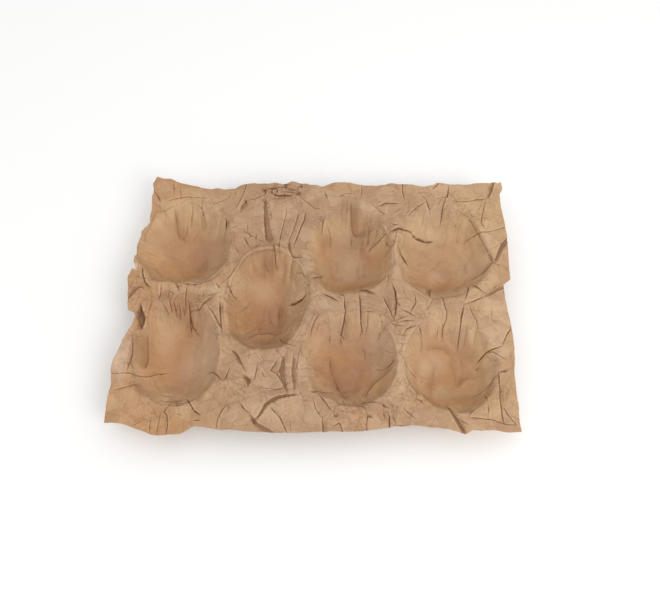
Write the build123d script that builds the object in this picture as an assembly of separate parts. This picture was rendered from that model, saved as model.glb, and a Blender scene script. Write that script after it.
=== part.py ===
from build123d import *
import os
import numpy as np
from scipy.spatial import Delaunay, cKDTree

os.makedirs("parts", exist_ok=True)

# A crumpled kraft paper liner, pressed over a mould into cups that each hold one fruit.
# X and Y are measured from the middle of the sheet's box, Z from the flat feet under the cups.
# Driving sizes in millimetres.
sheet_length = 390.0
sheet_width = 290.0
land_height = 32.0
paper_thickness = 0.6
rim_round = 5.0
gather_height = 0.8
crumple_height = 0.7
edge_tear = 0.5

# Depth and half width of each sort of fold: a gash is a torn pocket, a dent is a soft hollow in a cup.
gash_depth, gash_half = 9.0, 3.6
tuck_depth, tuck_half = 3.4, 2.0
pleat_depth, pleat_half = 2.6, 3.4
crease_depth, crease_half = 1.5, 1.8
dent_depth, dent_half = 1.8, 8.0
ridge_height, ridge_half = 1.5, 3.2

# Steps of the net of facets.
edge_step = 8.0
fold_step = 7.0
fold_gap = 2.0
cup_gap = 4.6
filler_step = 7.6
filler_gap = 5.2

# Shares of a cup's half size: the flat foot, the rings of points, and where the gathers start and end.
foot_share = 0.25
ring_shares = [0.42, 0.58, 0.72, 0.86, 1.0]
gather_start_share, gather_full_share = 0.62, 0.9
spokes = 24
foot_spokes = 12
squareness = 2.2

# Where the middle of the wavy sheet's box lies.
middle_shares = (0.4973, 0.4905)

# Each cup: centre along the length and the width, then half sizes, as shares of the sheet.
cup_shares = [
    (0.125, 0.705, 0.128, 0.185),
    (0.575, 0.680, 0.117, 0.182),
    (0.825, 0.685, 0.127, 0.188),
    (0.358, 0.480, 0.107, 0.212),
    (0.140, 0.255, 0.112, 0.195),
    (0.580, 0.255, 0.120, 0.178),
    (0.830, 0.245, 0.120, 0.178),
]

# The cut and torn edge, clockwise from the far left corner: length and width shares, then lift as a share of the
# land height.
edge_shares = [
    # far edge
    (.021, .992, .10), (.040, .985, .06), (.061, .986, .05), (.078, .976, .02), (.100, .970, -.02),
    (.119, .963, -.05), (.148, .956, -.10), (.177, .953, -.12), (.190, .957, -.12), (.211, .952, -.12),
    (.246, .955, -.10), (.257, .970, -.02), (.272, .977, .04), (.298, .976, .05), (.320, .972, .03),
    (.345, .974, .03), (.357, .979, .05), (.379, .974, .04), (.395, .978, .06), (.407, .988, .06),
    (.430, .985, .05), (.448, .987, .05), (.462, .981, .02), (.477, .978, .00), (.492, .972, -.02),
    (.505, .979, .00), (.523, .990, .04), (.545, .991, .05), (.575, .992, .05), (.598, .987, .02),
    (.625, .984, .00), (.650, .984, .00), (.671, .988, .02), (.684, .995, .05), (.697, .999, .05),
    (.712, .993, .03), (.725, .994, .04), (.754, .990, .02), (.780, .986, .00), (.800, .988, .00),
    (.812, .992, .03), (.823, 1.002, .06), (.850, 1.001, .04), (.875, 1.000, .03), (.904, 1.002, .02),
    (.945, 1.005, .03), (.975, 1.006, .05), (.991, 1.013, .10), (.998, 1.006, .08), (1.009, 1.016, .12),
    # right edge
    (1.010, .977, .06), (1.000, .953, .02), (1.002, .915, .00), (1.004, .875, -.02), (1.006, .837, -.03),
    (1.007, .798, -.03), (1.010, .765, -.01), (1.009, .736, .00), (1.006, .690, .00), (1.005, .635, .00),
    (1.005, .577, -.02), (.985, .556, -.02), (.986, .520, -.03), (.988, .470, -.04), (.991, .430, -.03),
    (.993, .394, .00), (.994, .350, .02), (.994, .301, .02), (.991, .250, .00), (.987, .193, -.03),
    (.988, .150, -.04), (.989, .099, -.05), (.989, .050, -.06), (.991, .004, -.07),
    # near edge
    (.950, -.001, -.05), (.935, .003, -.03), (.915, .004, -.02), (.895, .002, -.02), (.870, .004, -.02),
    (.862, -.006, -.04), (.850, -.007, -.05), (.835, -.002, -.04), (.805, .006, -.03), (.788, .010, -.02),
    (.760, .013, .00), (.735, .015, .02), (.715, .012, .02), (.696, .010, .02), (.670, .006, .00),
    (.644, .001, -.02), (.620, -.004, -.03), (.598, -.006, -.04), (.565, -.010, -.05), (.529, -.013, -.05),
    (.490, -.016, -.06), (.442, -.018, -.06), (.400, -.018, -.06), (.360, -.018, -.05), (.327, -.017, -.05),
    (.295, -.016, -.04), (.269, -.014, -.04), (.245, -.010, -.03), (.223, -.006, -.02), (.204, -.002, -.02),
    (.185, -.018, -.10), (.171, -.029, -.16), (.142, -.031, -.20), (.125, -.035, -.24), (.105, -.034, -.22),
    (.073, -.020, -.12), (.055, -.012, -.08), (.038, -.006, -.05), (.015, -.002, -.04), (-.010, -.001, -.04),
    # left edge
    (-.012, .040, -.05), (-.012, .084, -.05), (-.009, .130, -.04), (-.013, .168, -.03), (-.017, .185, .03),
    (-.014, .216, .04), (-.007, .250, .05), (.001, .293, .05), (.009, .325, .03), (.018, .356, .00),
    (.023, .385, -.03), (.021, .401, -.02), (.004, .405, .02), (-.001, .430, .02), (-.003, .453, .02),
    (-.009, .503, .03), (-.013, .540, .02), (-.005, .575, .04), (.010, .560, .02), (-.004, .605, .02),
    (-.004, .640, .00), (-.006, .682, .00), (.000, .744, .00), (.008, .767, .02), (.018, .790, .03),
    (.020, .830, .04), (.019, .860, .05), (.015, .900, .06), (.018, .922, .06), (.011, .961, .08),
]

# Folds by sort, each a run of places as shares of the length and the width.
fold_shares = {
    "gash": [
        [(.033, .433), (.034, .405), (.039, .375), (.039, .340)],
    ],
    "tuck": [
        # around the two left cups
        [(.226, .820), (.231, .800), (.229, .775), (.223, .760)], [(.277, .899), (.281, .885), (.284, .870)],
        [(.020, .590), (.024, .560), (.029, .538), (.036, .518), (.052, .500)], [(.221, .527), (.232, .506)],
        [(.200, .480), (.215, .480), (.231, .485)], [(.116, .524), (.122, .503), (.127, .492)],
        [(-.030, .170), (.005, .171), (.025, .174), (.045, .178), (.065, .190), (.090, .210), (.110, .220)],
        [(.173, .105), (.183, .085), (.190, .070), (.200, .050), (.218, .032)],
        # around the long cup
        [(.280, .758), (.292, .746), (.303, .735), (.315, .731)], [(.283, .730), (.291, .711), (.300, .688)],
        [(.408, .722), (.411, .685), (.417, .665), (.428, .652), (.449, .650)],
        [(.237, .450), (.239, .415), (.242, .385), (.250, .330)],
        [(.250, .535), (.257, .518), (.265, .500), (.281, .489)], [(.244, .466), (.253, .458), (.267, .456)],
        [(.410, .498), (.430, .493), (.450, .496), (.464, .512)],
        [(.391, .350), (.400, .325), (.410, .308), (.419, .296), (.442, .288)],
        # far middle crumple
        [(.322, .944), (.337, .950), (.366, .951)], [(.331, .952), (.335, .932), (.330, .914)],
        [(.382, .974), (.388, .957), (.399, .944), (.421, .938)], [(.376, .924), (.392, .930), (.412, .926)],
        [(.421, .920), (.430, .930), (.435, .942)],
        # around the three right cups
        [(.500, .832), (.498, .810), (.496, .768)], [(.652, .880), (.662, .889), (.674, .899), (.716, .903)],
        [(.628, .731), (.642, .745), (.660, .757), (.675, .766)], [(.636, .894), (.648, .872), (.669, .848)],
        [(.685, .771), (.695, .779), (.712, .787), (.735, .798), (.762, .790)],
        [(.708, .718), (.716, .700), (.728, .680), (.739, .664)], [(.471, .552), (.485, .562), (.504, .597)],
        [(.858, .990), (.855, .965), (.850, .935), (.835, .934)],
        [(.846, .932), (.842, .915), (.836, .890), (.834, .865), (.832, .832)],
        [(.791, .924), (.795, .900), (.802, .863)], [(.950, .624), (.938, .612), (.922, .606)],
        [(.544, .518), (.547, .503), (.553, .493), (.561, .483)],
        [(.561, .478), (.562, .450), (.564, .430), (.561, .405), (.555, .374), (.564, .358)],
        [(.600, .497), (.602, .470), (.603, .430), (.605, .400), (.612, .368)],
        [(.820, .524), (.821, .495), (.824, .458), (.829, .440), (.827, .412), (.820, .392), (.823, .358)],
        [(.896, .564), (.890, .530), (.885, .510), (.878, .486)], [(.904, .557), (.918, .537), (.936, .516)],
        [(.875, .466), (.871, .445), (.865, .415), (.864, .385), (.862, .333)],
        [(.678, .387), (.690, .382), (.716, .379)], [(.668, .237), (.678, .243), (.692, .251)],
        [(.717, .252), (.722, .238), (.733, .226), (.750, .215)],
        [(.482, .125), (.495, .131), (.508, .136), (.534, .151)], [(.504, .109), (.513, .095), (.532, .061)],
        [(.613, .135), (.620, .109), (.632, .096), (.649, .088)], [(.562, .107), (.564, .088), (.579, .084)],
        [(.593, .080), (.606, .081), (.617, .063)], [(.510, .034), (.512, .010), (.515, -.030)],
        [(.669, .064), (.673, .045), (.672, .020), (.673, -.020)], [(.889, .150), (.905, .152), (.920, .163)],
        [(.950, .218), (.948, .165), (.945, .120), (.946, .080), (.951, .033)],
        [(.952, .084), (.962, .062), (.982, .026)], [(.954, .212), (.974, .217)],
    ],
    "pleat": [
        [(.072, .860), (.079, .830), (.083, .800), (.098, .776)],
        [(.280, .866), (.272, .845), (.262, .810)],
        [(.331, .915), (.336, .880), (.341, .840), (.345, .790), (.352, .750), (.368, .702)],
        [(.430, .855), (.424, .800), (.417, .760), (.407, .715)],
        [(.576, .942), (.578, .900), (.580, .865), (.582, .840), (.592, .811), (.620, .806), (.655, .803)],
        [(.962, .928), (.971, .950), (.977, .975), (.992, 1.030)],
        [(1.030, .790), (.992, .715), (.981, .685), (.966, .640)],
        [(-.020, .440), (-.001, .457), (.006, .480), (.016, .498), (.037, .506)],
        [(.604, .562), (.607, .540), (.613, .520), (.624, .508), (.645, .500)],
        [(.687, .547), (.695, .515), (.697, .475), (.695, .430), (.690, .402)],
        [(.663, .492), (.668, .470), (.677, .445), (.690, .403)], [(.686, .399), (.703, .405), (.729, .417)],
        [(.802, .580), (.792, .555), (.787, .530), (.788, .500)],
        [(.281, .264), (.290, .252), (.296, .235), (.303, .220), (.313, .206)],
        [(.309, .172), (.322, .167), (.328, .155), (.327, .127)],
        [(.414, .262), (.411, .235), (.408, .195), (.413, .160), (.424, .112)],
        [(.434, .262), (.436, .230), (.436, .200), (.440, .160), (.440, .117)],
        [(.356, .028), (.365, .050), (.373, .071), (.387, .085), (.403, .096), (.430, .107), (.452, .112)],
        [(.303, .088), (.320, .055), (.335, .038), (.345, .022), (.353, .006), (.370, -.008), (.420, -.035)],
        [(.640, .228), (.632, .195), (.622, .165), (.613, .140)],
        [(.813, .104), (.818, .082), (.830, .050), (.838, .030), (.846, .010), (.860, -.030)],
        [(.930, .499), (.955, .523), (.965, .535), (1.005, .555)],
    ],
    "crease": [
        [(.010, .935), (.034, .900), (.041, .883)], [(.198, .886), (.213, .895), (.235, .921)],
        [(.006, .700), (.008, .745), (.016, .770), (.026, .805), (.033, .832), (.050, .850), (.077, .873)],
        [(.285, 1.010), (.277, .970), (.272, .935), (.264, .900), (.252, .853)],
        [(.285, .899), (.300, .903), (.331, .918)], [(.394, .868), (.396, .845), (.386, .760), (.381, .703)],
        [(.450, .852), (.447, .815), (.438, .780), (.432, .745), (.421, .697)],
        [(.315, .731), (.342, .707)], [(.303, .681), (.318, .693), (.332, .703)], [(.367, .702), (.375, .628)],
        [(.434, .921), (.442, .905), (.455, .893), (.465, .878), (.475, .865), (.492, .863)],
        [(.500, .950), (.506, .925), (.513, .903)], [(.607, 1.010), (.607, .955), (.604, .923)],
        [(.724, 1.020), (.724, .960), (.729, .923)], [(.790, .914), (.765, .890), (.750, .870), (.736, .843)],
        [(.856, .958), (.864, .942), (.875, .923)], [(.862, .915), (.890, .919), (.925, .926), (.962, .930)],
        [(.962, .930), (.955, .905), (.948, .865), (.937, .815), (.950, .786), (.985, .800), (1.030, .815)],
        [(.898, .860), (.888, .840), (.886, .810), (.889, .790), (.912, .777), (.927, .780)],
        [(.966, .640), (.950, .624)], [(.685, .806), (.698, .798), (.713, .802)],
        [(.050, .502), (.058, .465), (.060, .440), (.055, .400), (.055, .345)],
        [(.078, .518), (.079, .490), (.079, .448)], [(.146, .517), (.145, .490), (.147, .428)],
        [(.157, .447), (.158, .420), (.165, .385), (.181, .360)], [(.088, .441), (.104, .414)],
        [(.218, .476), (.207, .462), (.193, .440), (.184, .427), (.163, .428)],
        [(.204, .436), (.218, .415), (.228, .395), (.247, .345)],
        [(.283, .647), (.272, .610), (.262, .585), (.245, .543)], [(.500, .499), (.527, .480), (.548, .464)],
        [(.496, .417), (.488, .395), (.477, .355), (.475, .333)], [(.590, .532), (.590, .510), (.585, .488)],
        [(.703, .441), (.718, .433), (.732, .425), (.749, .411)], [(.752, .385), (.762, .360)],
        [(.716, .348), (.720, .364), (.735, .375), (.750, .380)], [(.748, .507), (.749, .470), (.732, .428)],
        [(.795, .497), (.790, .475), (.779, .446)], [(.892, .467), (.893, .445), (.904, .405), (.909, .378)],
        [(.873, .466), (.890, .477), (.905, .485), (.932, .501)], [(1.000, .392), (.980, .355), (.963, .308)],
        [(.026, .178), (.025, .195), (.029, .245), (.027, .290), (.023, .312)],
        [(.055, .345), (.055, .300), (.058, .260), (.057, .225), (.051, .192)],
        [(.139, .067), (.127, .046), (.135, .035), (.140, .005), (.138, -.060)],
        [(.258, -.020), (.259, .020), (.264, .042), (.277, .072)], [(.278, .202), (.266, .145)],
        [(.398, .240), (.390, .220), (.380, .193), (.395, .183), (.411, .148)],
        [(.384, .125), (.400, .129), (.414, .131)], [(.453, .302), (.447, .255), (.445, .198)],
        [(.384, .064), (.398, .045), (.410, .028), (.424, -.010), (.434, -.040)],
        [(.487, .102), (.493, .070), (.500, .050), (.508, .034)],
        [(.617, .063), (.619, .040), (.616, -.030)], [(.705, .075), (.722, .055), (.738, .033)],
        [(.535, .002), (.552, .018), (.565, -.030)], [(.739, .106), (.752, .098), (.761, .085)],
        [(.864, .047), (.895, .045), (.925, .042), (.955, .028), (.983, .027)],
        [(.864, .050), (.872, .065), (.884, .080)], [(.931, .288), (.941, .290), (.968, .256)],
        [(.922, .168), (.935, .187), (.944, .202)], [(.646, .249), (.668, .237)],
    ],
    "dent": [
        [(.348, .494), (.341, .455), (.334, .405), (.335, .385)], [(.406, .492), (.395, .460), (.393, .378)],
        [(.538, .690), (.541, .640), (.541, .605)], [(.140, .250), (.138, .215), (.120, .168)],
        [(.530, .290), (.537, .255), (.557, .190), (.566, .125)], [(.200, .238), (.232, .190), (.258, .148)],
        [(.810, .285), (.800, .240), (.790, .180), (.786, .150)], [(.858, .700), (.845, .640), (.842, .590)],
    ],
    "ridge": [
        [(.899, .862), (.918, .805), (.935, .755), (.954, .688)], [(.318, .342), (.345, .383), (.374, .396)],
        [(.596, .680), (.602, .640), (.612, .610)], [(.504, .278), (.520, .292), (.540, .300)],
        [(.706, .700), (.703, .640), (.702, .580)], [(.706, .300), (.707, .240), (.706, .150)],
    ],
}
fold_sizes = {
    "gash": (gash_depth, gash_half), "tuck": (tuck_depth, tuck_half), "pleat": (pleat_depth, pleat_half),
    "crease": (crease_depth, crease_half), "dent": (dent_depth, dent_half), "ridge": (-ridge_height, ridge_half),
}


# A place given in shares, as a point in plan.
def place(length_share, width_share):
    return np.array([(length_share - middle_shares[0]) * sheet_length, (width_share - middle_shares[1]) * sheet_width])


# Every fold as (depth, half width, run of points in plan).
def fold_runs():
    runs = []
    for sort, rows in fold_shares.items():
        depth, half = fold_sizes[sort]
        runs += [(depth, half, np.array([place(*spot) for spot in row])) for row in rows]
    return runs


# How far out in a cup each point lies: 0 at the middle, 1 at the rim; and its bearing.
def cup_radius(cup, points):
    middle, half = place(*cup[:2]), np.array([cup[2] * sheet_length, cup[3] * sheet_width])
    out = (points - middle) / half
    radius = (np.abs(out) ** squareness).sum(axis=1) ** (1 / squareness)
    return radius, np.arctan2(out[:, 1], out[:, 0])


# Distance of each point from a run, and how far along it the nearest place is from the nearer end.
def reach(points, run):
    best, ends = np.full(len(points), np.inf), np.zeros(len(points))
    lengths = np.linalg.norm(np.diff(run, axis=0), axis=1)
    for start, step, length, before in zip(run, np.diff(run, axis=0), lengths, np.cumsum(lengths) - lengths):
        along = np.clip((points - start) @ step / length ** 2, 0, 1)
        away = np.linalg.norm(points - start - along[:, None] * step, axis=1)
        travelled = before + along * length
        nearer = away < best
        best = np.where(nearer, away, best)
        ends = np.where(nearer, np.minimum(travelled, lengths.sum() - travelled), ends)
    return best, ends


# Height of the land between the cups, raised and lowered along the wavy edge and fading inward.
def land(points):
    spots = np.array([place(*row[:2]) for row in edge_shares])
    lifts = np.array([row[2] for row in edge_shares]) * land_height
    nearness = np.exp(-np.linalg.norm(points[:, None] - spots[None], axis=2) / edge_step)
    weight = nearness / (nearness.sum(axis=1)[:, None] + np.exp(-1.0))
    return land_height + weight @ lifts


# Height of the pressed sheet before its folds: each cup is a bowl blended into the land by a smooth minimum.
def pressed(points):
    total = np.exp(-land(points) / rim_round)
    for cup in cup_shares:
        radius, bearing = cup_radius(cup, points)
        climb = np.clip((radius - foot_share) / (1 - foot_share), 0, None)
        rise = np.where(climb < 1, climb ** 2, 2 * climb - 1)
        wave = 1 - 4 * np.abs((bearing / (2 * np.pi) * spokes / 2) % 1 - 0.5)
        spread = np.clip((radius - gather_start_share) / (gather_full_share - gather_start_share), 0, 1)
        total += np.exp(-(np.minimum(rise, 4) * land_height + wave * spread * gather_height) / rim_round)
    return np.maximum(-rim_round * np.log(total), 0)


# Drop of the folds: the deepest one at each point counts, and a fold fades out towards its ends.
def fold_drop(points):
    deepest, highest = np.zeros(len(points)), np.zeros(len(points))
    for depth, half, run in fold_runs():
        away, ends = reach(points, run)
        drop = depth * np.clip(1 - away / half, 0, 1) * np.clip((ends + fold_gap) / fold_step, 0, 1)
        deepest, highest = np.maximum(deepest, drop), np.minimum(highest, drop)
    return deepest + highest


# Points of the edge, with the torn raggedness of the paper.
def edge_points(rng):
    corners = [place(*row[:2]) for row in edge_shares]
    points = []
    for start, end in zip(corners, corners[1:] + corners[:1]):
        count = max(1, round(np.linalg.norm(end - start) / edge_step))
        points += [start + (end - start) * k / count for k in range(count)]
    return np.array(points) + rng.uniform(-edge_tear, edge_tear, (len(points), 2))


# Points along the middle and both sides of each fold, so that it comes out as a crisp V.
def fold_points():
    points = []
    for depth, half, run in fold_runs():
        for start, end in zip(run, run[1:]):
            length = np.linalg.norm(end - start)
            across = np.array([start[1] - end[1], end[0] - start[0]]) / length
            count = max(1, round(length / fold_step))
            for k in range(count + (end is run[-1])):
                middle = start + (end - start) * k / count
                outer = (k == 0 and start is run[0]) or k == count
                points += [middle] if outer else [middle, middle + half * across, middle - half * across]
    return np.array(points)


# Rings of points on the spokes of each cup.
def cup_points():
    points = []
    for cup in cup_shares:
        middle, half = place(*cup[:2]), np.array([cup[2] * sheet_length, cup[3] * sheet_width])
        for share in ring_shares:
            for bearing in (np.arange(spokes) + 0.5) * 2 * np.pi / spokes:
                way = np.array([np.cos(bearing), np.sin(bearing)])
                points.append(middle + half * share * way / (np.abs(way) ** squareness).sum() ** (1 / squareness))
    return np.array(points)


# The foot of each cup: a ring of points with nothing inside it.
def foot_points(cup):
    middle, half = place(*cup[:2]), np.array([cup[2] * sheet_length, cup[3] * sheet_width])
    bearings = np.arange(foot_spokes) * 2 * np.pi / foot_spokes
    ways = np.column_stack([np.cos(bearings), np.sin(bearings)])
    return middle + half * foot_share * ways / ((np.abs(ways) ** squareness).sum(axis=1) ** (1 / squareness))[:, None]


# Loose points that fill the rest of the sheet.
def filler_points(rng):
    across = np.arange(-0.52, 0.52, filler_step / sheet_length) * sheet_length
    up = np.arange(-0.54, 0.54, filler_step * np.sqrt(0.75) / sheet_width) * sheet_width
    x, y = np.meshgrid(across, up)
    x[::2] += filler_step / 2
    points = np.column_stack([x.ravel(), y.ravel()])
    return points + rng.uniform(-filler_step, filler_step, points.shape) / 4


# Which points lie inside a closed loop, by counting crossings.
def inside(points, loop):
    crossings = np.zeros(len(points), int)
    for start, end in zip(loop, np.roll(loop, -1, axis=0)):
        spans = (start[1] > points[:, 1]) != (end[1] > points[:, 1])
        rise = end[1] - start[1] or 1
        crossings += spans & (points[:, 0] < start[0] + (points[:, 1] - start[1]) / rise * (end[0] - start[0]))
    return crossings % 2 == 1


# Adds new points that keep a distance from the ones already there, from the edge and from the feet.
def add(kept, new, gap, loop):
    new = new[inside(new, loop)]
    clear = np.all([cup_radius(cup, new)[0] > foot_share for cup in cup_shares], axis=0)
    for point in new[clear]:
        if np.min(np.linalg.norm(np.array(kept) - point, axis=1)) > gap:
            kept.append(point)


# All points of the net in plan, and the triangles between them that lie on the sheet.
def net():
    rng = np.random.default_rng(7)
    loop = edge_points(rng)
    feet = [foot_points(cup) for cup in cup_shares]
    kept = list(loop) + [point for foot in feet for point in foot]
    add(kept, fold_points(), fold_gap * 0.9, loop)
    add(kept, cup_points(), cup_gap, loop)
    add(kept, filler_points(rng), filler_gap, loop)
    points = np.array(kept)
    triangles = Delaunay(points).simplices
    middles = points[triangles].mean(axis=1)
    on_foot = np.any([inside(middles, foot) for foot in feet], axis=0)
    triangles = triangles[inside(middles, loop) & ~on_foot]
    a, b, c = (points[triangles[:, k]] for k in range(3))
    turn = (b - a)[:, 0] * (c - a)[:, 1] - (b - a)[:, 1] * (c - a)[:, 0]
    triangles = np.where(turn[:, None] < 0, triangles[:, ::-1], triangles)
    first = len(loop)
    rings = [np.arange(first + n * foot_spokes, first + (n + 1) * foot_spokes) for n in range(len(feet))]
    return points, triangles, rings


# The upper and lower corners of the net: the lower ones are set off along the sheet's own direction.
def lift(points, triangles, rings):
    rng = np.random.default_rng(11)
    drop = fold_drop(points)
    crumple = rng.uniform(-crumple_height, crumple_height, len(points)) / 2
    height = pressed(points) - drop + np.where(drop == 0, crumple, 0)
    height = np.maximum(height, 0) + paper_thickness
    feet = np.concatenate(rings)
    height[feet] = paper_thickness
    upper = np.column_stack([points, height])
    normals = np.zeros_like(upper)
    a, b, c = (upper[triangles[:, k]] for k in range(3))
    for k in range(3):
        np.add.at(normals, triangles[:, k], np.cross(b - a, c - a))
    normals /= np.linalg.norm(normals, axis=1)[:, None]
    normals[feet] = [0, 0, 1]
    return upper, upper - paper_thickness * normals


# Edges used by one triangle only, which are the rims of the sheet and of the feet.
def rim_edges(triangles):
    pairs = {}
    for a, b, c in triangles:
        for pair in ((a, b), (b, c), (c, a)):
            pairs[pair] = pairs.get(pair, 0) + 1
    return [pair for pair in pairs if pair[::-1] not in pairs]


def facet(*corners):
    return Face(Wire.make_polygon([Vector(*corner) for corner in corners], close=True))


# Sews the upper and lower facets, the feet and the cut edge into one solid sheet.
def make_sheet():
    points, triangles, rings = net()
    upper, lower = lift(points, triangles, rings)
    faces = [facet(*upper[row]) for row in triangles] + [facet(*lower[row[::-1]]) for row in triangles]
    for ring in rings:
        faces += [facet(*upper[ring]), facet(*lower[ring[::-1]])]
    feet = set(np.concatenate(rings))
    for a, b in rim_edges(triangles):
        if a not in feet:
            faces += [facet(upper[b], upper[a], lower[a]), facet(upper[b], lower[a], lower[b])]
    print("facets", len(faces))
    return Solid(Shell(faces))


sheet = make_sheet()
print("volume", round(sheet.volume), "valid", sheet.is_valid, "box", sheet.bounding_box())
export_step(sheet, "parts/tray_sheet.step", write_pcurves=False)
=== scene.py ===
import math
import bpy
import numpy as np
from mathutils import Matrix, Vector


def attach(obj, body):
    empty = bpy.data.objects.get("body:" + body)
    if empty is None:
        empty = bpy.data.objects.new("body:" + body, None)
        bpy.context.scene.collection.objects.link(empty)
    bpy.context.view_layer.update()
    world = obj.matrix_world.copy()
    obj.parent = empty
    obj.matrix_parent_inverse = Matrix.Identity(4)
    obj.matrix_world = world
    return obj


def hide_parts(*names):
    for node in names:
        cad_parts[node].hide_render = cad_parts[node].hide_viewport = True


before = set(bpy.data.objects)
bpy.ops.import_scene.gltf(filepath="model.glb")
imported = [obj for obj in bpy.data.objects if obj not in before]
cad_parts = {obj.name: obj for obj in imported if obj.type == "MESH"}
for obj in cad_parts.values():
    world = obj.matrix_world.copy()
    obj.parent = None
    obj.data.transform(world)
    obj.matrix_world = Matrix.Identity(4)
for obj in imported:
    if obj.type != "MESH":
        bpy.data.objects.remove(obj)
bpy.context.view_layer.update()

# The pressed sheet, in millimetres like the model's own sizes; shares are of the length and the width.
sheet = {
    "length": 390.0, "width": 290.0, "landHeight": 32.0, "thickness": 0.6, "rimRound": 1.9,
    "boxHalf": (200.2, 152.3), "squareness": 2.2, "footShare": 0.25, "middleShares": (0.4973, 0.4905),
    "cellsAlong": 320, "cellsAcross": 240, "sharpDegrees": 32.0, "highest": 35.1,
    "edgeFade": 45.0, "edgeReach": 14.0, "edgeWeight": 1.6, "raggedness": 0.15,
    "facetSize": 15.0, "facetHeight": 2.4, "cupFacetSize": 19.0, "cupFacetHeight": 4.0,
    "smallFacetSize": 6.0, "smallFacetHeight": 0.9, "hollowHeight": 3.0, "wanderMillimetres": 2.6,
    "fanShare": 1.6, "gatherRadians": 0.055, "gatherHeight": 2.6, "rimCrumple": 0.75,
    "smoothSpot": (0.158, 0.656), "smoothReach": 15.0, "seenBelow": 0.25, "hollowSizes": (26, 19, 9),
    "ridgeHalf": 1.1, "grooveAway": 1.9, "grooveHalf": 0.9, "ridgeFadeDegrees": 12,
}

# Each sort of fold: depth, half width, half width and painted shade of its line, painted shade of its whole
# width, lightness of its rubbed edge, profile. A curtain's painted soft shade is as dark as its line, and a line
# whose half width is negative isn't seen.
foldSorts = {
    "gash": (7.0, 4.8, 0.6, 0.9, 0.6, 0.4, "diamond"),
    "notch": (1.8, 4.6, 1.3, 0.9, 0.0, 0.22, "step"),
    "tuck": (1.6, 4.6, 0.66, 0.95, 0.0, 0.22, "step"),
    "pleat": (1.2, 2.1, 0.42, 0.8, 0.8, 0.15, "pocket"),
    "wedge": (1.4, 2.5, 0.45, 0.8, 0.8, 0.15, "pocket"),
    "fan": (1.2, 4.4, 0.45, 0.7, 0.75, 0.12, "fan"),
    "crease": (0.9, 4.2, 0.52, 0.85, 0.0, 0.2, "step"),
    "fine": (0.6, 3.2, 0.44, 0.7, 0.0, 0.15, "step"),
    "hair": (0.35, 2.6, 0.36, 0.34, 0.0, 0.08, "step"),
    "flute": (0.9, 3.4, 0.36, 0.16, 0.0, 0.0, "step"),
    "soft": (0.9, 3.4, 0.7, 0.25, 0.0, 0.0, "step"),
    "curtain": (3.2, 11.0, 0.4, 0.5, 0.0, 0.0, "curtain"),
    "swell": (2.4, 9.0, -0.8, 0.4, 0.0, 0.0, "curtain"),
    "drape": (2.4, 6.5, 0.0, 0.0, 0.0, 0.0, "hollow"),
    "dent": (2.0, 8.0, 0.0, 0.0, 0.0, 0.0, "hollow"),
    "ridge": (-1.5, 3.2, 0.0, 0.0, 0.0, 0.0, "hollow"),
}

# How folds are drawn: the steep sides of a step, of a curtain and of its shade, and how soon a fold fades out,
# in millimetres; the shade's gentle side as a share of the half width; how steep a gap's walls are, and how much
# further out its line lies on the gentle side; and the half width of that line and how much other lines waver,
# in millimetres.
foldEdges = {
    "stepSteep": 0.4, "curtainSteep": 2.4, "shadeSteep": 1.6, "fadeOut": 7.0, "shadeGentle": 0.7,
    "gapWalls": 1.7, "gapLean": 1.4, "gapLine": 0.35, "waver": 0.16,
}

# Where a cup's rim stands up as a thin rubbed ridge, with a groove of painted shade beside it: cup number, first
# and last bearing in degrees, strength.
rimArcs = [
    (3, -10, 190, .8), (3, 190, 260, .3), (1, 20, 50, .6), (2, 215, 250, .5), (0, -60, 30, .5),
    (3, 300, 350, .5), (1, -60, 20, .6), (1, 190, 300, .3), (2, 150, 250, .7), (0, 250, 350, .4),
    (5, -40, 60, .6), (6, 120, 230, .7), (4, -30, 60, .4), (2, 250, 320, .3),
]

# Each cup: centre along the length and the width, then half sizes.
cupShares = [
    (0.125, 0.705, 0.128, 0.185),
    (0.575, 0.680, 0.117, 0.182),
    (0.825, 0.685, 0.127, 0.188),
    (0.358, 0.480, 0.107, 0.212),
    (0.140, 0.255, 0.112, 0.195),
    (0.580, 0.255, 0.120, 0.178),
    (0.830, 0.245, 0.120, 0.178),
]

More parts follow.
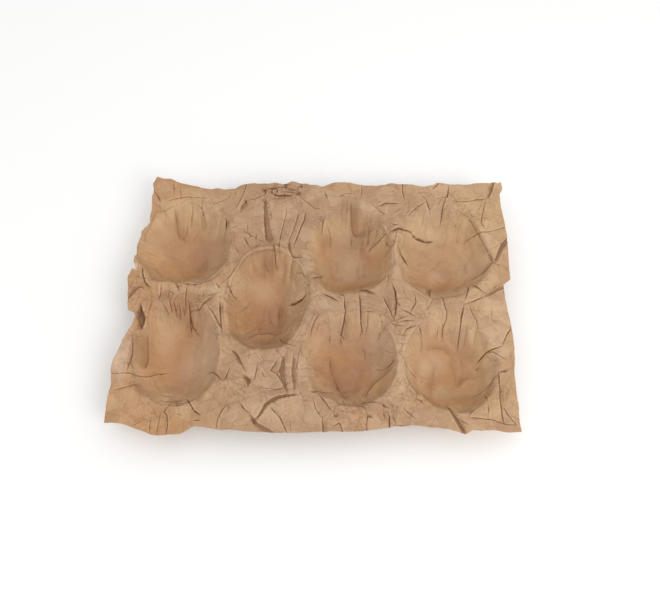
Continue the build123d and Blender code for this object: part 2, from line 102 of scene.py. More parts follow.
# The cut and torn edge, clockwise from the far left corner: place, then lift as a share of the land's height.
edgeShares = [
    # far edge
    (.021, .992, .10), (.040, .985, .06), (.061, .986, .05), (.078, .976, .02), (.100, .970, -.02),
    (.119, .963, -.05), (.148, .956, -.10), (.177, .953, -.12), (.190, .957, -.12), (.211, .952, -.12),
    (.246, .955, -.10), (.257, .970, -.02), (.272, .977, .04), (.298, .976, .05), (.320, .972, .03),
    (.345, .974, .03), (.357, .979, .05), (.379, .974, .04), (.395, .978, .06), (.407, .988, .06),
    (.430, .985, .05), (.448, .987, .05), (.462, .981, .02), (.477, .978, .00), (.492, .972, -.02),
    (.505, .979, .00), (.523, .990, .04), (.545, .991, .05), (.575, .992, .05), (.598, .987, .02),
    (.625, .984, .00), (.650, .984, .00), (.671, .988, .02), (.684, .995, .05), (.697, .999, .05),
    (.712, .993, .03), (.725, .994, .04), (.754, .990, .02), (.780, .986, .00), (.800, .988, .00),
    (.812, .992, .03), (.823, 1.002, .06), (.850, 1.001, .04), (.875, 1.000, .03), (.904, 1.002, .02),
    (.945, 1.005, .03), (.975, 1.006, .05), (.991, 1.013, .10), (.998, 1.006, .08), (1.009, 1.016, .12),
    # right edge
    (1.010, .977, .06), (1.000, .953, .02), (1.002, .915, .00), (1.004, .875, -.02), (1.006, .837, -.03),
    (1.007, .798, -.03), (1.010, .765, -.01), (1.009, .736, .00), (1.006, .690, .00), (1.005, .635, .00),
    (1.005, .577, -.02), (.985, .556, -.02), (.986, .520, -.03), (.988, .470, -.04), (.991, .430, -.03),
    (.993, .394, .00), (.994, .350, .02), (.994, .301, .02), (.991, .250, .00), (.987, .193, -.03),
    (.988, .150, -.04), (.989, .099, -.05), (.989, .050, -.06), (.991, .004, -.07),
    # near edge
    (.950, -.001, -.05), (.935, .003, -.03), (.915, .004, -.02), (.895, .002, -.02), (.870, .004, -.02),
    (.862, -.006, -.04), (.850, -.007, -.05), (.835, -.002, -.04), (.805, .006, -.03), (.788, .010, -.02),
    (.760, .013, .00), (.735, .015, .02), (.715, .012, .02), (.696, .010, .02), (.670, .006, .00),
    (.644, .001, -.02), (.620, -.004, -.03), (.598, -.006, -.04), (.565, -.010, -.05), (.529, -.013, -.05),
    (.490, -.016, -.06), (.442, -.018, -.06), (.400, -.018, -.06), (.360, -.018, -.05), (.327, -.017, -.05),
    (.295, -.016, -.04), (.269, -.014, -.04), (.245, -.010, -.03), (.223, -.006, -.02), (.204, -.002, -.02),
    (.185, -.018, -.10), (.171, -.029, -.16), (.142, -.031, -.20), (.125, -.035, -.24), (.105, -.034, -.22),
    (.073, -.020, -.12), (.055, -.012, -.08), (.038, -.006, -.05), (.015, -.002, -.04), (-.010, -.001, -.04),
    # left edge
    (-.012, .040, -.05), (-.012, .084, -.05), (-.009, .130, -.04), (-.013, .168, -.03), (-.017, .185, .03),
    (-.014, .216, .04), (-.007, .250, .05), (.001, .293, .05), (.009, .325, .03), (.018, .356, .00),
    (.023, .385, -.03), (.021, .401, -.02), (.004, .405, .02), (-.001, .430, .02), (-.003, .453, .02),
    (-.009, .503, .03), (-.013, .540, .02), (-.005, .575, .04), (.010, .560, .02), (-.004, .605, .02),
    (-.004, .640, .00), (-.006, .682, .00), (.000, .744, .00), (.008, .767, .02), (.018, .790, .03),
    (.020, .830, .04), (.019, .860, .05), (.015, .900, .06), (.018, .922, .06), (.011, .961, .08),
]
edgeCorners = [(1.009, 1.016, .12), (.991, .004, -.07), (-.010, -.001, -.04)]

# Folds by sort, each a run of places in shares of the length and the width.
foldShares = {
    "gash": [
        [(.033, .433), (.034, .405), (.039, .375), (.039, .340)],
    ],
    "notch": [
        [(.325, .945), (.336, .940)], [(.394, .952), (.405, .947), (.418, .945)],
        [(.421, .930), (.431, .938)], [(.386, .976), (.394, .969)], [(.278, .897), (.282, .886)],
        [(.545, .507), (.557, .490)], [(.620, .046), (.628, .038)],
        [(.405, .703), (.410, .684), (.416, .670)], [(.814, .102), (.822, .086), (.829, .070)],
        [(.954, .214), (.972, .217)], [(.538, .039), (.547, .043)], [(.342, .024), (.350, .009)],
        [(.316, .168), (.325, .158), (.326, .145)], [(.500, .826), (.499, .806)],
        [(.698, .012), (.706, .009)], [(.658, .085), (.664, .079)], [(.434, .974), (.436, .964)],
        [(.282, .262), (.288, .254)], [(.606, .101), (.618, .098)],
    ],
    "tuck": [
        [(.687, .547), (.695, .515), (.697, .475), (.695, .430), (.690, .402)],
        [(.663, .492), (.668, .470), (.677, .445), (.690, .403)],
        [(.434, .921), (.442, .905), (.455, .893), (.465, .878), (.475, .865), (.492, .863)],
        [(.541, .926), (.548, .930), (.557, .934)], [(.545, .510), (.552, .498), (.560, .487)],
        [(.325, .943), (.330, .937), (.337, .941)], [(.337, .957), (.360, .958), (.392, .958)],
        [(.392, .951), (.405, .948), (.420, .946)], [(.420, .930), (.427, .936), (.433, .943)],
        [(.386, .978), (.393, .968), (.400, .972)], [(.433, .978), (.437, .968), (.434, .958)],
        [(.813, .104), (.820, .080), (.832, .050), (.842, .025), (.852, .000)],
        [(.478, .126), (.490, .121), (.505, .118)],
        [(.905, .270), (.925, .294), (.943, .300), (.962, .306)],
        # short dark ones
        [(.824, 1.005), (.826, .995), (.815, .980), (.811, .972)],
        [(.679, .590), (.677, .565), (.675, .545)], [(.200, .016), (.218, .016)],
        [(.620, .045), (.627, .036)], [(.538, .039), (.546, .042)], [(.697, .012), (.703, .008)],
        [(.658, .085), (.664, .078), (.672, .075)],
        # around the two left cups
        [(.226, .820), (.231, .800), (.229, .775), (.223, .760)],
        [(.277, .899), (.281, .885), (.284, .870)],
        [(.020, .590), (.024, .560), (.029, .538), (.036, .518), (.052, .500)],
        [(.221, .527), (.232, .506)], [(.200, .480), (.215, .480), (.231, .485)],
        [(.116, .524), (.122, .503), (.127, .492)],
        [(.173, .105), (.183, .085), (.190, .070), (.200, .050), (.218, .032)],
        # around the long cup
        [(.280, .758), (.292, .746), (.303, .735), (.315, .731)],
        [(.283, .730), (.291, .711), (.300, .688)],
        [(.408, .722), (.411, .685), (.417, .665), (.428, .652), (.449, .650)],
        [(.237, .450), (.239, .415), (.242, .385), (.250, .330)],
        [(.250, .535), (.257, .518), (.265, .500), (.281, .489)],
        [(.244, .466), (.253, .458), (.267, .456)],
        [(.410, .498), (.430, .493), (.450, .496), (.464, .512)],
        [(.391, .350), (.400, .325), (.410, .308), (.419, .296), (.442, .288)],
        # far middle crumple
        [(.322, .944), (.345, .953), (.366, .955), (.386, .962)],
        [(.398, .947), (.410, .945), (.421, .943)],
        [(.378, .935), (.395, .936), (.412, .935), (.424, .932)],
        [(.386, .973), (.392, .957), (.398, .947)], [(.431, .970), (.424, .955)],
        [(.350, .945), (.353, .925)], [(.365, .950), (.368, .930)],
        [(.352, .924), (.372, .921), (.410, .920)], [(.331, .952), (.335, .932), (.330, .914)],
        [(.421, .920), (.430, .930), (.435, .942)],
        # around the three right cups
        [(.500, .832), (.498, .810), (.496, .768)],
        [(.652, .880), (.662, .889), (.674, .899), (.716, .903)],
        [(.628, .731), (.642, .745), (.660, .757), (.675, .766)],
        [(.636, .894), (.648, .872), (.669, .848)],
        [(.686, .768), (.703, .782), (.722, .788), (.735, .797), (.747, .800), (.765, .786), (.790, .782),
         (.815, .788)], [(.708, .718), (.716, .700), (.728, .680), (.739, .664)],
        [(.471, .552), (.485, .562), (.504, .597)],
        [(.858, .990), (.855, .965), (.850, .935), (.835, .934)],
        [(.846, .932), (.842, .915), (.836, .890), (.834, .865), (.832, .832)],
        [(.791, .924), (.795, .900), (.802, .863)], [(.950, .624), (.938, .612), (.922, .606)],
        [(.544, .518), (.547, .503), (.553, .493), (.561, .483)],
        [(.561, .478), (.562, .450), (.564, .430), (.561, .405), (.555, .374), (.564, .358)],
        [(.600, .497), (.602, .470), (.603, .430), (.605, .400), (.612, .368)],
        [(.820, .524), (.821, .495), (.824, .458), (.829, .440), (.827, .412), (.820, .392), (.823, .358)],
        [(.896, .564), (.890, .530), (.885, .510), (.878, .486)],
        [(.904, .557), (.918, .537), (.936, .516)],
        [(.875, .466), (.871, .445), (.865, .415), (.864, .385), (.862, .333)],
        [(.678, .387), (.690, .382), (.716, .379)], [(.668, .237), (.678, .243), (.692, .251)],
        [(.717, .252), (.722, .238), (.733, .226), (.750, .215)],
        [(.482, .125), (.495, .131), (.508, .136), (.534, .151)],
        [(.504, .109), (.513, .095), (.532, .061)],
        [(.606, .104), (.620, .097), (.634, .093), (.653, .090)],
        [(.562, .107), (.564, .088), (.579, .084)], [(.593, .080), (.606, .081), (.617, .063)],
        [(.510, .034), (.512, .010), (.515, -.030)],
        [(.669, .064), (.673, .045), (.672, .020), (.673, -.020)],
        [(.889, .150), (.905, .152), (.920, .163)], [(.952, .084), (.962, .062), (.982, .026)],
        [(.954, .212), (.974, .217)],
    ],
    "pleat": [
        [(.280, .896), (.274, .870), (.265, .840)],
        [(.962, .928), (.971, .950), (.977, .975), (.992, 1.030)],
        [(1.030, .790), (.992, .715), (.981, .685), (.966, .640)],
        [(-.020, .440), (-.001, .457), (.006, .480), (.016, .498), (.037, .506)],
        [(.604, .562), (.607, .540), (.613, .520), (.624, .508), (.645, .500)],
        [(.802, .580), (.792, .555), (.787, .530), (.788, .500)],
        [(.281, .264), (.290, .252), (.296, .235), (.303, .220), (.313, .206)],
        [(.434, .262), (.436, .230), (.436, .200), (.440, .160), (.440, .117)],
        [(.930, .499), (.955, .523), (.965, .535), (1.005, .555)],
    ],
    "crease": [
        [(.680, .391), (.703, .403), (.729, .415)],
        [(-.030, .170), (.005, .171), (.025, .174), (.045, .178), (.065, .190), (.090, .210), (.110, .220)],
        [(.112, .090), (.135, .083), (.160, .082), (.185, .085), (.200, .090)],
        [(.130, .072), (.150, .074), (.172, .070)],
        [(.950, .218), (.948, .165), (.945, .120), (.946, .080), (.951, .033)],
        [(.215, .210), (.235, .195), (.252, .170), (.264, .148)],
        [(.303, .088), (.320, .058), (.336, .040)], [(.205, .620), (.225, .627), (.245, .642)],
        [(.376, .118), (.386, .127), (.400, .129)], [(.105, .455), (.112, .420)],
        [(.118, .450), (.122, .410)], [(.130, .450), (.133, .405)], [(.140, .440), (.143, .400)],
        [(.155, .460), (.157, .400), (.162, .360)],
        [(.430, .855), (.424, .800), (.417, .760), (.407, .715)],
        [(.010, .935), (.034, .900), (.041, .883)], [(.198, .886), (.213, .895), (.235, .921)],
        [(.285, 1.010), (.277, .970), (.272, .935), (.264, .900), (.252, .853)],
        [(.285, .899), (.300, .903), (.331, .918)],
        [(.394, .868), (.396, .845), (.386, .760), (.381, .703)],
        [(.450, .852), (.447, .815), (.438, .780), (.432, .745), (.421, .697)],
        [(.315, .731), (.342, .707)], [(.303, .681), (.318, .693), (.332, .703)],
        [(.367, .702), (.375, .628)], [(.500, .950), (.506, .925), (.513, .903)],
        [(.607, 1.010), (.607, .955), (.604, .923)], [(.724, 1.020), (.724, .960), (.729, .923)],
        [(.790, .914), (.765, .890), (.750, .870), (.736, .843)],
        [(.856, .958), (.864, .942), (.875, .923)],
        [(.862, .915), (.890, .919), (.925, .926), (.962, .930)],
        [(.898, .778), (.928, .782), (.957, .783), (1.000, .802), (1.030, .812)],
        [(.685, .806), (.698, .798), (.713, .802)], [(.078, .518), (.079, .490), (.079, .448)],
        [(.146, .517), (.145, .490), (.147, .428)],
        [(.157, .447), (.158, .420), (.165, .385), (.181, .360)], [(.088, .441), (.104, .414)],
        [(.218, .476), (.207, .462), (.193, .440), (.184, .427), (.163, .428)],
        [(.204, .436), (.218, .415), (.228, .395), (.247, .345)],
        [(.283, .647), (.272, .610), (.262, .585), (.245, .543)],
        [(.500, .499), (.527, .480), (.548, .464)],
        [(.496, .417), (.488, .395), (.477, .355), (.475, .333)],
        [(.590, .532), (.590, .510), (.585, .488)],
        [(.703, .441), (.718, .433), (.732, .425), (.749, .411)], [(.752, .385), (.762, .360)],
        [(.716, .348), (.720, .364), (.735, .375), (.750, .380)],
        [(.748, .507), (.749, .470), (.732, .428)], [(.795, .497), (.790, .475), (.779, .446)],
        [(.892, .467), (.893, .445), (.904, .405), (.909, .378)],
        [(.873, .466), (.890, .477), (.905, .485), (.932, .501)],
        [(1.000, .392), (.980, .355), (.963, .308)],
        [(.139, .067), (.127, .046), (.135, .035), (.140, .005), (.138, -.060)],
        [(.258, -.020), (.259, .020), (.264, .042), (.277, .072)], [(.278, .202), (.266, .145)],
        [(.398, .240), (.390, .220), (.380, .193), (.395, .183), (.411, .148)],
        [(.384, .125), (.400, .129), (.414, .131)],
        [(.384, .064), (.398, .045), (.410, .028), (.424, -.010), (.434, -.040)],
        [(.487, .102), (.493, .070), (.500, .050), (.508, .034)],
        [(.617, .063), (.619, .040), (.616, -.030)], [(.705, .075), (.722, .055), (.738, .033)],
        [(.535, .002), (.552, .018), (.565, -.030)], [(.739, .106), (.752, .098), (.761, .085)],
        [(.864, .047), (.895, .045), (.925, .042), (.955, .028), (.983, .027)],
        [(.864, .050), (.872, .065), (.884, .080)], [(.931, .288), (.941, .290), (.968, .256)],
        [(.922, .168), (.935, .187), (.944, .202)], [(.646, .249), (.668, .237)],
    ],
    "wedge": [
        [(.414, .262), (.411, .235), (.408, .195), (.413, .160), (.424, .112)],
        [(.309, .176), (.318, .168), (.326, .155), (.325, .128)],
        [(.334, .042), (.345, .022), (.353, .006), (.370, -.008), (.420, -.035)],
        [(.348, .020), (.358, .034), (.365, .050), (.373, .071), (.387, .085), (.403, .096), (.430, .107),
         (.456, .112)], [(.818, .082), (.830, .050), (.838, .030), (.846, .010), (.860, -.030)],
    ],
    "fan": [
        [(.333, .908), (.336, .875), (.343, .800), (.352, .735), (.359, .700)],
    ],
    # these two sorts fall sharply on the right of the way they are written
    "curtain": [
        [(.577, .915), (.577, .860), (.581, .825), (.590, .808), (.607, .802)],
        [(.312, .350), (.328, .366), (.345, .378), (.362, .388), (.378, .380), (.400, .368)],
        [(.527, .297), (.530, .245), (.542, .205), (.560, .150), (.568, .122)],
        [(.617, .125), (.625, .162), (.640, .195), (.662, .212), (.690, .235)],
        [(.963, .643), (.957, .681), (.947, .725), (.936, .772), (.918, .820), (.903, .857)],
        [(.905, .605), (.930, .612), (.950, .632), (.966, .660)],
        [(.078, .870), (.082, .835), (.086, .805), (.092, .785), (.100, .772)],
    ],
    "swell": [
        [(.778, .325), (.798, .340), (.825, .336), (.845, .315), (.856, .285)],
        [(.785, .175), (.789, .225), (.808, .280)],
        [(.033, .325), (.029, .290), (.028, .245), (.025, .190)],
        [(.055, .215), (.058, .260), (.056, .300), (.052, .345)],
        [(.348, .500), (.343, .455), (.336, .405), (.334, .378)],
        [(.396, .500), (.392, .450), (.389, .385)],
        [(.360, .495), (.360, .450), (.370, .420), (.384, .396)],
        [(.785, .145), (.790, .185), (.798, .230), (.803, .280)],
        [(.836, .720), (.818, .690), (.797, .665)], [(.541, .705), (.540, .670), (.540, .635)],
        [(.600, .690), (.598, .655), (.601, .620)], [(.150, .860), (.155, .830), (.157, .800)],
        [(.905, .640), (.900, .670), (.903, .700)], [(.840, .300), (.850, .250), (.853, .200)],
        [(.170, .700), (.165, .660), (.150, .640)],
    ],
    "drape": [
        [(.376, .500), (.372, .460), (.376, .430)],
    ],
    "dent": [
        [(.538, .690), (.541, .640), (.541, .605)], [(.140, .250), (.138, .215), (.120, .168)],
        [(.530, .290), (.537, .255), (.557, .190), (.566, .125)],
        [(.200, .238), (.232, .190), (.258, .148)],
        [(.810, .285), (.800, .240), (.790, .180), (.786, .150)],
        [(.858, .700), (.845, .640), (.842, .590)],
    ],
    "ridge": [
        [(.446, .272), (.448, .198), (.454, .126)],
        [(.899, .862), (.918, .805), (.935, .755), (.954, .688)],
        [(.318, .342), (.345, .383), (.374, .396)], [(.596, .680), (.602, .640), (.612, .610)],
        [(.504, .278), (.520, .292), (.540, .300)], [(.706, .700), (.703, .640), (.702, .580)],
        [(.706, .300), (.707, .240), (.706, .150)],
    ],
    "fine": [
        [(.026, .178), (.025, .195), (.029, .245), (.027, .290), (.023, .312)],
        [(.120, .525), (.150, .520), (.180, .528), (.205, .540), (.222, .560), (.235, .590)],
        [(.962, .930), (.955, .905), (.948, .865), (.940, .820), (.955, .790)],
        [(.712, .640), (.728, .610), (.752, .590), (.778, .582)],
        [(.716, .660), (.735, .625), (.760, .603)], [(.172, .475), (.195, .474)],
        [(.170, .462), (.192, .461)], [(.172, .450), (.190, .449)],
        [(.120, .103), (.145, .100), (.175, .104)], [(.105, .120), (.120, .115), (.140, .117)],
        [(.170, .115), (.195, .122), (.210, .135)], [(.108, .055), (.120, .065), (.130, .073)],
        [(.118, .045), (.117, .000), (.116, -.035)], [(.000, .110), (.035, .125), (.065, .145)],
        [(.460, .665), (.482, .660)], [(.487, .590), (.510, .596)],
        [(.453, .302), (.447, .255), (.445, .198)], [(.128, .875), (.125, .845), (.124, .822)],
        [(.155, .900), (.156, .870), (.163, .840), (.165, .825)], [(.247, .940), (.250, .910)],
        [(.012, .684), (.028, .684), (.045, .680)], [(.187, .868), (.178, .866)],
        [(.351, .855), (.356, .815)], [(.316, .750), (.318, .700)], [(.291, .800), (.292, .755)],
        [(.243, .760), (.256, .770), (.265, .778)], [(.262, .700), (.265, .680), (.272, .662)],
        [(.337, .820), (.341, .770), (.346, .720)], [(.438, .975), (.434, .955)],
        [(.345, .905), (.375, .907), (.400, .905)], [(.388, .925), (.389, .905)],
        [(.363, .930), (.361, .915)], [(.380, .955), (.379, .930)],
        [(.508, .822), (.515, .800), (.526, .775)], [(.508, .930), (.533, .927)],
        [(.512, .877), (.528, .877)], [(.512, .866), (.535, .862)], [(.546, .929), (.552, .936)],
        [(.541, .924), (.545, .926)], [(.555, .940), (.575, .943), (.590, .945)],
        [(.694, .988), (.708, .975), (.717, .968)], [(.693, .955), (.703, .965)],
        [(.691, .735), (.697, .726), (.702, .722)], [(.683, .722), (.690, .710)],
        [(.675, .742), (.683, .722)], [(.815, .930), (.836, .935)], [(.762, .948), (.776, .945)],
        [(.776, .940), (.788, .925)], [(.914, .885), (.910, .870)], [(.913, .865), (.921, .852)],
        [(.966, .640), (.985, .638)], [(.765, .951), (.800, .958)],
        [(.100, .495), (.108, .485), (.115, .475)], [(.100, .500), (.101, .478), (.102, .455)],
        [(.125, .420), (.134, .405)], [(.190, .500), (.192, .475), (.191, .460)],
        [(.236, .470), (.237, .462)], [(.160, .520), (.170, .515)],
        [(.457, .545), (.465, .533), (.475, .525)], [(.482, .508), (.486, .510)],
        [(.460, .628), (.472, .648)], [(.498, .385), (.490, .360)], [(.270, .670), (.272, .655)],
        [(.430, .600), (.445, .590), (.455, .570), (.460, .555)],
        [(.345, .645), (.350, .630), (.357, .620)], [(.587, .560), (.591, .530)],
        [(.702, .391), (.720, .394), (.745, .397)], [(.703, .465), (.706, .450)],
        [(.688, .355), (.700, .347), (.712, .341), (.725, .342)],
        [(.650, .410), (.660, .395), (.672, .380)], [(.668, .375), (.662, .368)],
        [(.545, .380), (.549, .377)], [(.609, .425), (.620, .430), (.640, .425)],
        [(.774, .446), (.780, .446)], [(.808, .395), (.807, .375), (.804, .360)],
        [(.778, .432), (.787, .425)], [(.761, .410), (.766, .408)], [(.745, .520), (.747, .500)],
        [(.024, .310), (.035, .315), (.045, .325)], [(.152, .040), (.165, .036), (.173, .034)],
        [(.104, .043), (.110, .042)], [(.058, -.010), (.070, .002), (.083, .022)],
        [(.098, .030), (.098, .000), (.100, -.030)], [(.269, .322), (.270, .300)],
        [(.307, .112), (.298, .107), (.292, .105)], [(.316, .122), (.317, .108)],
        [(.295, .118), (.307, .110)], [(.345, .225), (.345, .195), (.341, .165), (.337, .150)],
        [(.357, .190), (.366, .170)], [(.398, .262), (.393, .270), (.385, .280)],
        [(.345, .137), (.365, .133), (.390, .132)], [(.431, .030), (.435, .005), (.438, -.020)],
        [(.452, .122), (.458, .118), (.462, .108)], [(.460, .094), (.475, .093)],
        [(.282, .070), (.284, .045)], [(.472, .230), (.478, .228)],
        [(.545, .205), (.547, .175), (.545, .155)], [(.513, .170), (.518, .190), (.523, .198)],
        [(.658, .060), (.663, .035)], [(.692, .080), (.691, .068)],
        [(.680, .050), (.685, .030), (.688, .010)], [(.553, .065), (.563, .055)],
        [(.700, .308), (.715, .310), (.725, .317)], [(.734, .312), (.739, .314)],
        [(.847, .035), (.855, .028), (.863, .020)], [(.913, .100), (.914, .075), (.913, .050)],
        [(.912, .140), (.913, .105)], [(.903, .252), (.910, .255)], [(.760, .205), (.770, .215)],
        [(.825, .125), (.820, .105)],
        # the far left corner
        [(.020, .925), (.032, .893), (.044, .874)],
        [(.052, .878), (.082, .895), (.114, .910), (.172, .908)],
        [(.068, .970), (.074, .936), (.076, .902)], [(.090, .946), (.098, .900)],
        [(.138, .886), (.158, .865), (.166, .825)],
    ],
    "soft": [
        [(.055, .345), (.055, .300), (.058, .260), (.057, .225)],
        [(.903, .857), (.885, .832), (.879, .790), (.893, .777)],
        [(.765, .900), (.757, .860), (.750, .830)], [(.785, .880), (.782, .850), (.778, .820)],
        [(.303, .220), (.312, .200), (.320, .178)], [(.553, .925), (.553, .880), (.550, .840)],
        [(.565, .915), (.566, .870), (.563, .835)],
        [(.006, .700), (.008, .745), (.016, .770), (.026, .805), (.033, .832), (.050, .850), (.077, .873)],
        [(.050, .502), (.058, .465), (.060, .440), (.055, .400), (.055, .345)],
        [(.106, .775), (.112, .800), (.113, .830)], [(.232, .660), (.238, .640), (.246, .625)],
        [(.360, .450), (.370, .425), (.380, .405)],
        [(.570, .575), (.560, .565), (.555, .545), (.555, .530)],
        [(.112, .085), (.130, .090), (.150, .093), (.170, .098)],
    ],
}

# Creases too many to place one by one: how many short ones and their lengths in millimetres, the way between
# flutes as a share of a cup's half size, how many arcs lie along each near wall, and the spacing under which
# crossing creases show only where the paper is crumpled.
scattered = {"creases": 260, "length": (5.0, 22.0), "flutes": (0.1, 0.35), "arcs": 8, "fineSpacing": 22}

# Long creases that cross the whole sheet, in sets of parallel ones that show only in places: bearing in
# degrees, spacing and height in millimetres.
crossingSets = [
    (12, 38, .80), (65, 34, .80), (118, 41, .80), (155, 30, .70), (38, 27, .60), (92, 24, .60),
    (20, 17, .35), (75, 15, .35), (130, 19, .40), (165, 14, .30), (48, 12, .30), (105, 16, .35),
]

# How much painted shade darkens each cup against the land, just inside its far and its near rim.
cupShades = [(0, .5), (.1, .6), (0, .5), (.9, .8), (.9, .4), (.4, .6), (.2, .7)]

# Where the paper is crumpled most: length share, width share, reach in millimetres, strength.
crumpleSpots = [
    (.385, .945, 26, 1.2), (.240, .470, 22, 1.0), (.450, .500, 20, .8), (.700, .420, 26, 1.1),
    (.700, .270, 18, .7), (.430, .170, 30, .6), (.560, .060, 26, .8), (.700, .080, 22, .8),
    (.030, .500, 20, .9), (.090, .500, 24, .6), (.270, .140, 26, .6), (.700, .770, 20, .9),
    (.880, .880, 26, .6), (.080, .040, 22, .6), (.940, .100, 24, .5),
]

# Where the paper is painted with shade, looks rosier, torn, warmer or cooler, or is paler, mostly painted light
# on lit lobes and on walls whose shade it lifts: length share, width share, reach along and across in
# millimetres, strength.
tonePatches = {
    "shade": [
        (.100, .455, 14, 9, .9), (.160, .450, 18, 10, .9), (.190, .430, 9, 12, .6), (.362, .328, 30, 10, 1),
        (.345, .660, 26, 9, .6), (.185, .640, 20, 18, .5), (.150, .578, 36, 8, .6), (.590, .570, 30, 7, .7),
        (.820, .564, 42, 7, .6), (.565, .210, 18, 20, .5), (.571, .130, 27, 7, .55),
        (.860, .145, 26, 7, .5), (.045, .290, 9, 22, .5), (.530, .600, 12, 20, .4), (.360, .400, 34, 9, .4),
        (.625, .770, 14, 9, .5), (.270, .450, 8, 20, .4), (.140, .140, 30, 7, .5), (.500, .760, 8, 14, .4),
        (.283, .630, 10, 12, .9), (.352, .655, 12, 14, 1), (.320, .660, 14, 10, .7),
        (.590, .860, 6, 14, .8), (.560, .870, 5, 14, .6), (.385, .940, 26, 7, .5), (.338, .945, 8, 5, .7),
        (.405, .946, 9, 4, .9), (.394, .968, 8, 5, .7), (.434, .966, 3, 6, .7), (.426, .932, 5, 4, .8),
        (.281, .888, 3, 5, .9), (.332, .430, 2.5, 14, .5), (.362, .425, 2, 8, .5), (.392, .425, 3, 14, .5),
        (.112, .430, 9, 10, .8), (.137, .425, 9, 9, .8), (.156, .400, 4, 15, 1), (.620, .800, 16, 6, .8),
        (.595, .830, 6, 10, .5), (.315, .640, 16, 12, .5), (.340, .620, 12, 8, .6), (.120, .430, 24, 8, .7),
        (.180, .410, 10, 12, .5),
    ],
    "rosy": [
        (.190, .680, 22, 22, .8), (.200, .270, 20, 40, .9), (.830, .640, 22, 16, .7),
        (.370, .460, 22, 26, .5), (.640, .350, 18, 18, .8), (.800, .370, 30, 12, .6),
        (.540, .360, 24, 14, .6), (.450, .180, 40, 24, .4), (.600, .640, 16, 20, .5),
    ],
    "torn": [(.004, .585, 2.0, 5.0, 1), (.000, .250, 8, 22, .8)],
    "warm": [
        (.905, .700, 14, 24, .9), (.815, .320, 18, 5, .6), (.840, .270, 6, 12, .4), (.065, .430, 5, 20, .7),
        (.065, .250, 6, 16, .6), (.275, .405, 12, 14, .8), (.550, .290, 16, 7, .7), (.505, .220, 9, 20, .7),
        (.655, .165, 12, 10, .7), (.110, .600, 40, 14, .8), (.040, .680, 16, 14, .5),
        (.830, .600, 40, 9, .6), (.660, .700, 12, 14, .6), (.505, .700, 10, 18, .6), (.580, .570, 32, 7, 1),
        (.830, .120, 34, 8, 1), (.790, .340, 14, 8, .5), (.090, .260, 12, 20, .5), (.120, .140, 32, 8, .7),
        (.360, .335, 26, 8, .4), (.580, .125, 30, 7, .5), (.080, .960, 20, 10, .5), (.560, .970, 24, 6, .5),
        (.120, -.010, 30, 8, .6), (.600, .040, 20, 8, .5),
    ],
    "cool": [
        (.530, .390, 18, 14, .6), (.660, .320, 13, 22, .8), (.430, .560, 12, 22, .8),
        (.215, .300, 14, 26, .8), (.870, .370, 12, 14, .6), (.200, .860, 16, 14, .5),
        (.300, .560, 10, 10, .5), (.800, .830, 14, 14, .6), (.740, .370, 12, 14, .6),
        (.440, .170, 40, 26, .4), (.540, .450, 26, 10, .5), (.700, .300, 12, 20, .5),
    ],
    "paleAndPaintedLight": [
        (.905, .690, 14, 24, 1), (.215, .280, 12, 30, 1), (.175, .270, 16, 26, .6),
        (.140, .140, 26, 12, .6), (.890, .260, 14, 24, .1), (.195, .660, 8, 10, .6),
        (.350, .845, 22, 12, .4), (.414, .966, 5, 4, .8), (.374, .936, 6, 3, .7), (.044, .945, 9, 7, .5),
        (.130, .925, 20, 4, .5), (.350, .951, 5, 3, .6), (.442, .270, 3, 20, .4), (.815, .640, 8, 9, .7),
        (.575, .680, 14, 14, .6), (.620, .130, 30, 8, .4), (.420, .500, 7, 14, .6), (.625, .870, 13, 9, .8),
        (.553, .640, 7, 12, .5), (.602, .650, 7, 11, .5), (.782, .270, 9, 12, .9), (.815, .160, 11, 7, 1),
        (.085, .420, 7, 12, .6), (.000, .250, 10, 22, 1), (.015, .300, 8, 14, .8), (.560, .640, 16, 12, .6),
        (.600, .650, 10, 12, .5), (.950, .720, 9, 20, .6), (.920, .700, 10, 16, .4),
        (.235, .300, 6, 26, .5), (.200, .200, 14, 12, .3), (.470, .930, 16, 8, .5),
        (.060, .690, 16, 10, .4), (.790, .360, 12, 12, .5), (.795, .820, 10, 12, .8),
        (.800, .300, 12, 14, .6), (.820, .170, 8, 8, .9), (.345, .560, 16, 14, .7), (.703, .620, 5, 30, .9),
        (.706, .230, 6, 28, .8), (.100, .330, 12, 26, .6), (.545, .650, 8, 22, .6), (.850, .980, 30, 7, .8),
        (.950, .430, 14, 24, .7), (.220, .500, 16, 8, .7), (.900, .560, 26, 6, .5), (.950, .760, 8, 10, .6),
        (.400, .050, 40, 12, .4), (.160, .900, 30, 10, .4),
    ],
}


def place(shares):
    # shares of the length and width -> millimetres from the middle of the sheet's box
    shares = np.asarray(shares, float)
    return (shares - np.array(sheet["middleShares"])) * [sheet["length"], sheet["width"]]


def step01(x):
    # smooth step: 3x^2 - 2x^3, with x kept between 0 and 1
    x = np.clip(x, 0, 1)
    return x * x * (3 - 2 * x)


def bell(points, shares, reach):
    # 1 at a place, falling away from it as exp(-(distance / reach)^2), with one reach or with one each way
    return np.exp(-(((points - place(shares)) / reach) ** 2).sum(axis=1))


def clouds(points, size, seed):
    # smooth noise from -1 to 1: random heights on a square lattice of the given size, blended by smooth
    # steps; each seed is a pattern of its own
    table = np.random.default_rng(seed).uniform(-1, 1, (97, 89))
    cell = points / size + 41.3
    low = np.floor(cell).astype(int)
    part = step01(cell - low)
    i, j = low[:, 0] % 96, low[:, 1] % 88
    near = table[i, j] * (1 - part[:, 0]) + table[i + 1, j] * part[:, 0]
    far = table[i, j + 1] * (1 - part[:, 0]) + table[i + 1, j + 1] * part[:, 0]
    return near * (1 - part[:, 1]) + far * part[:, 1]


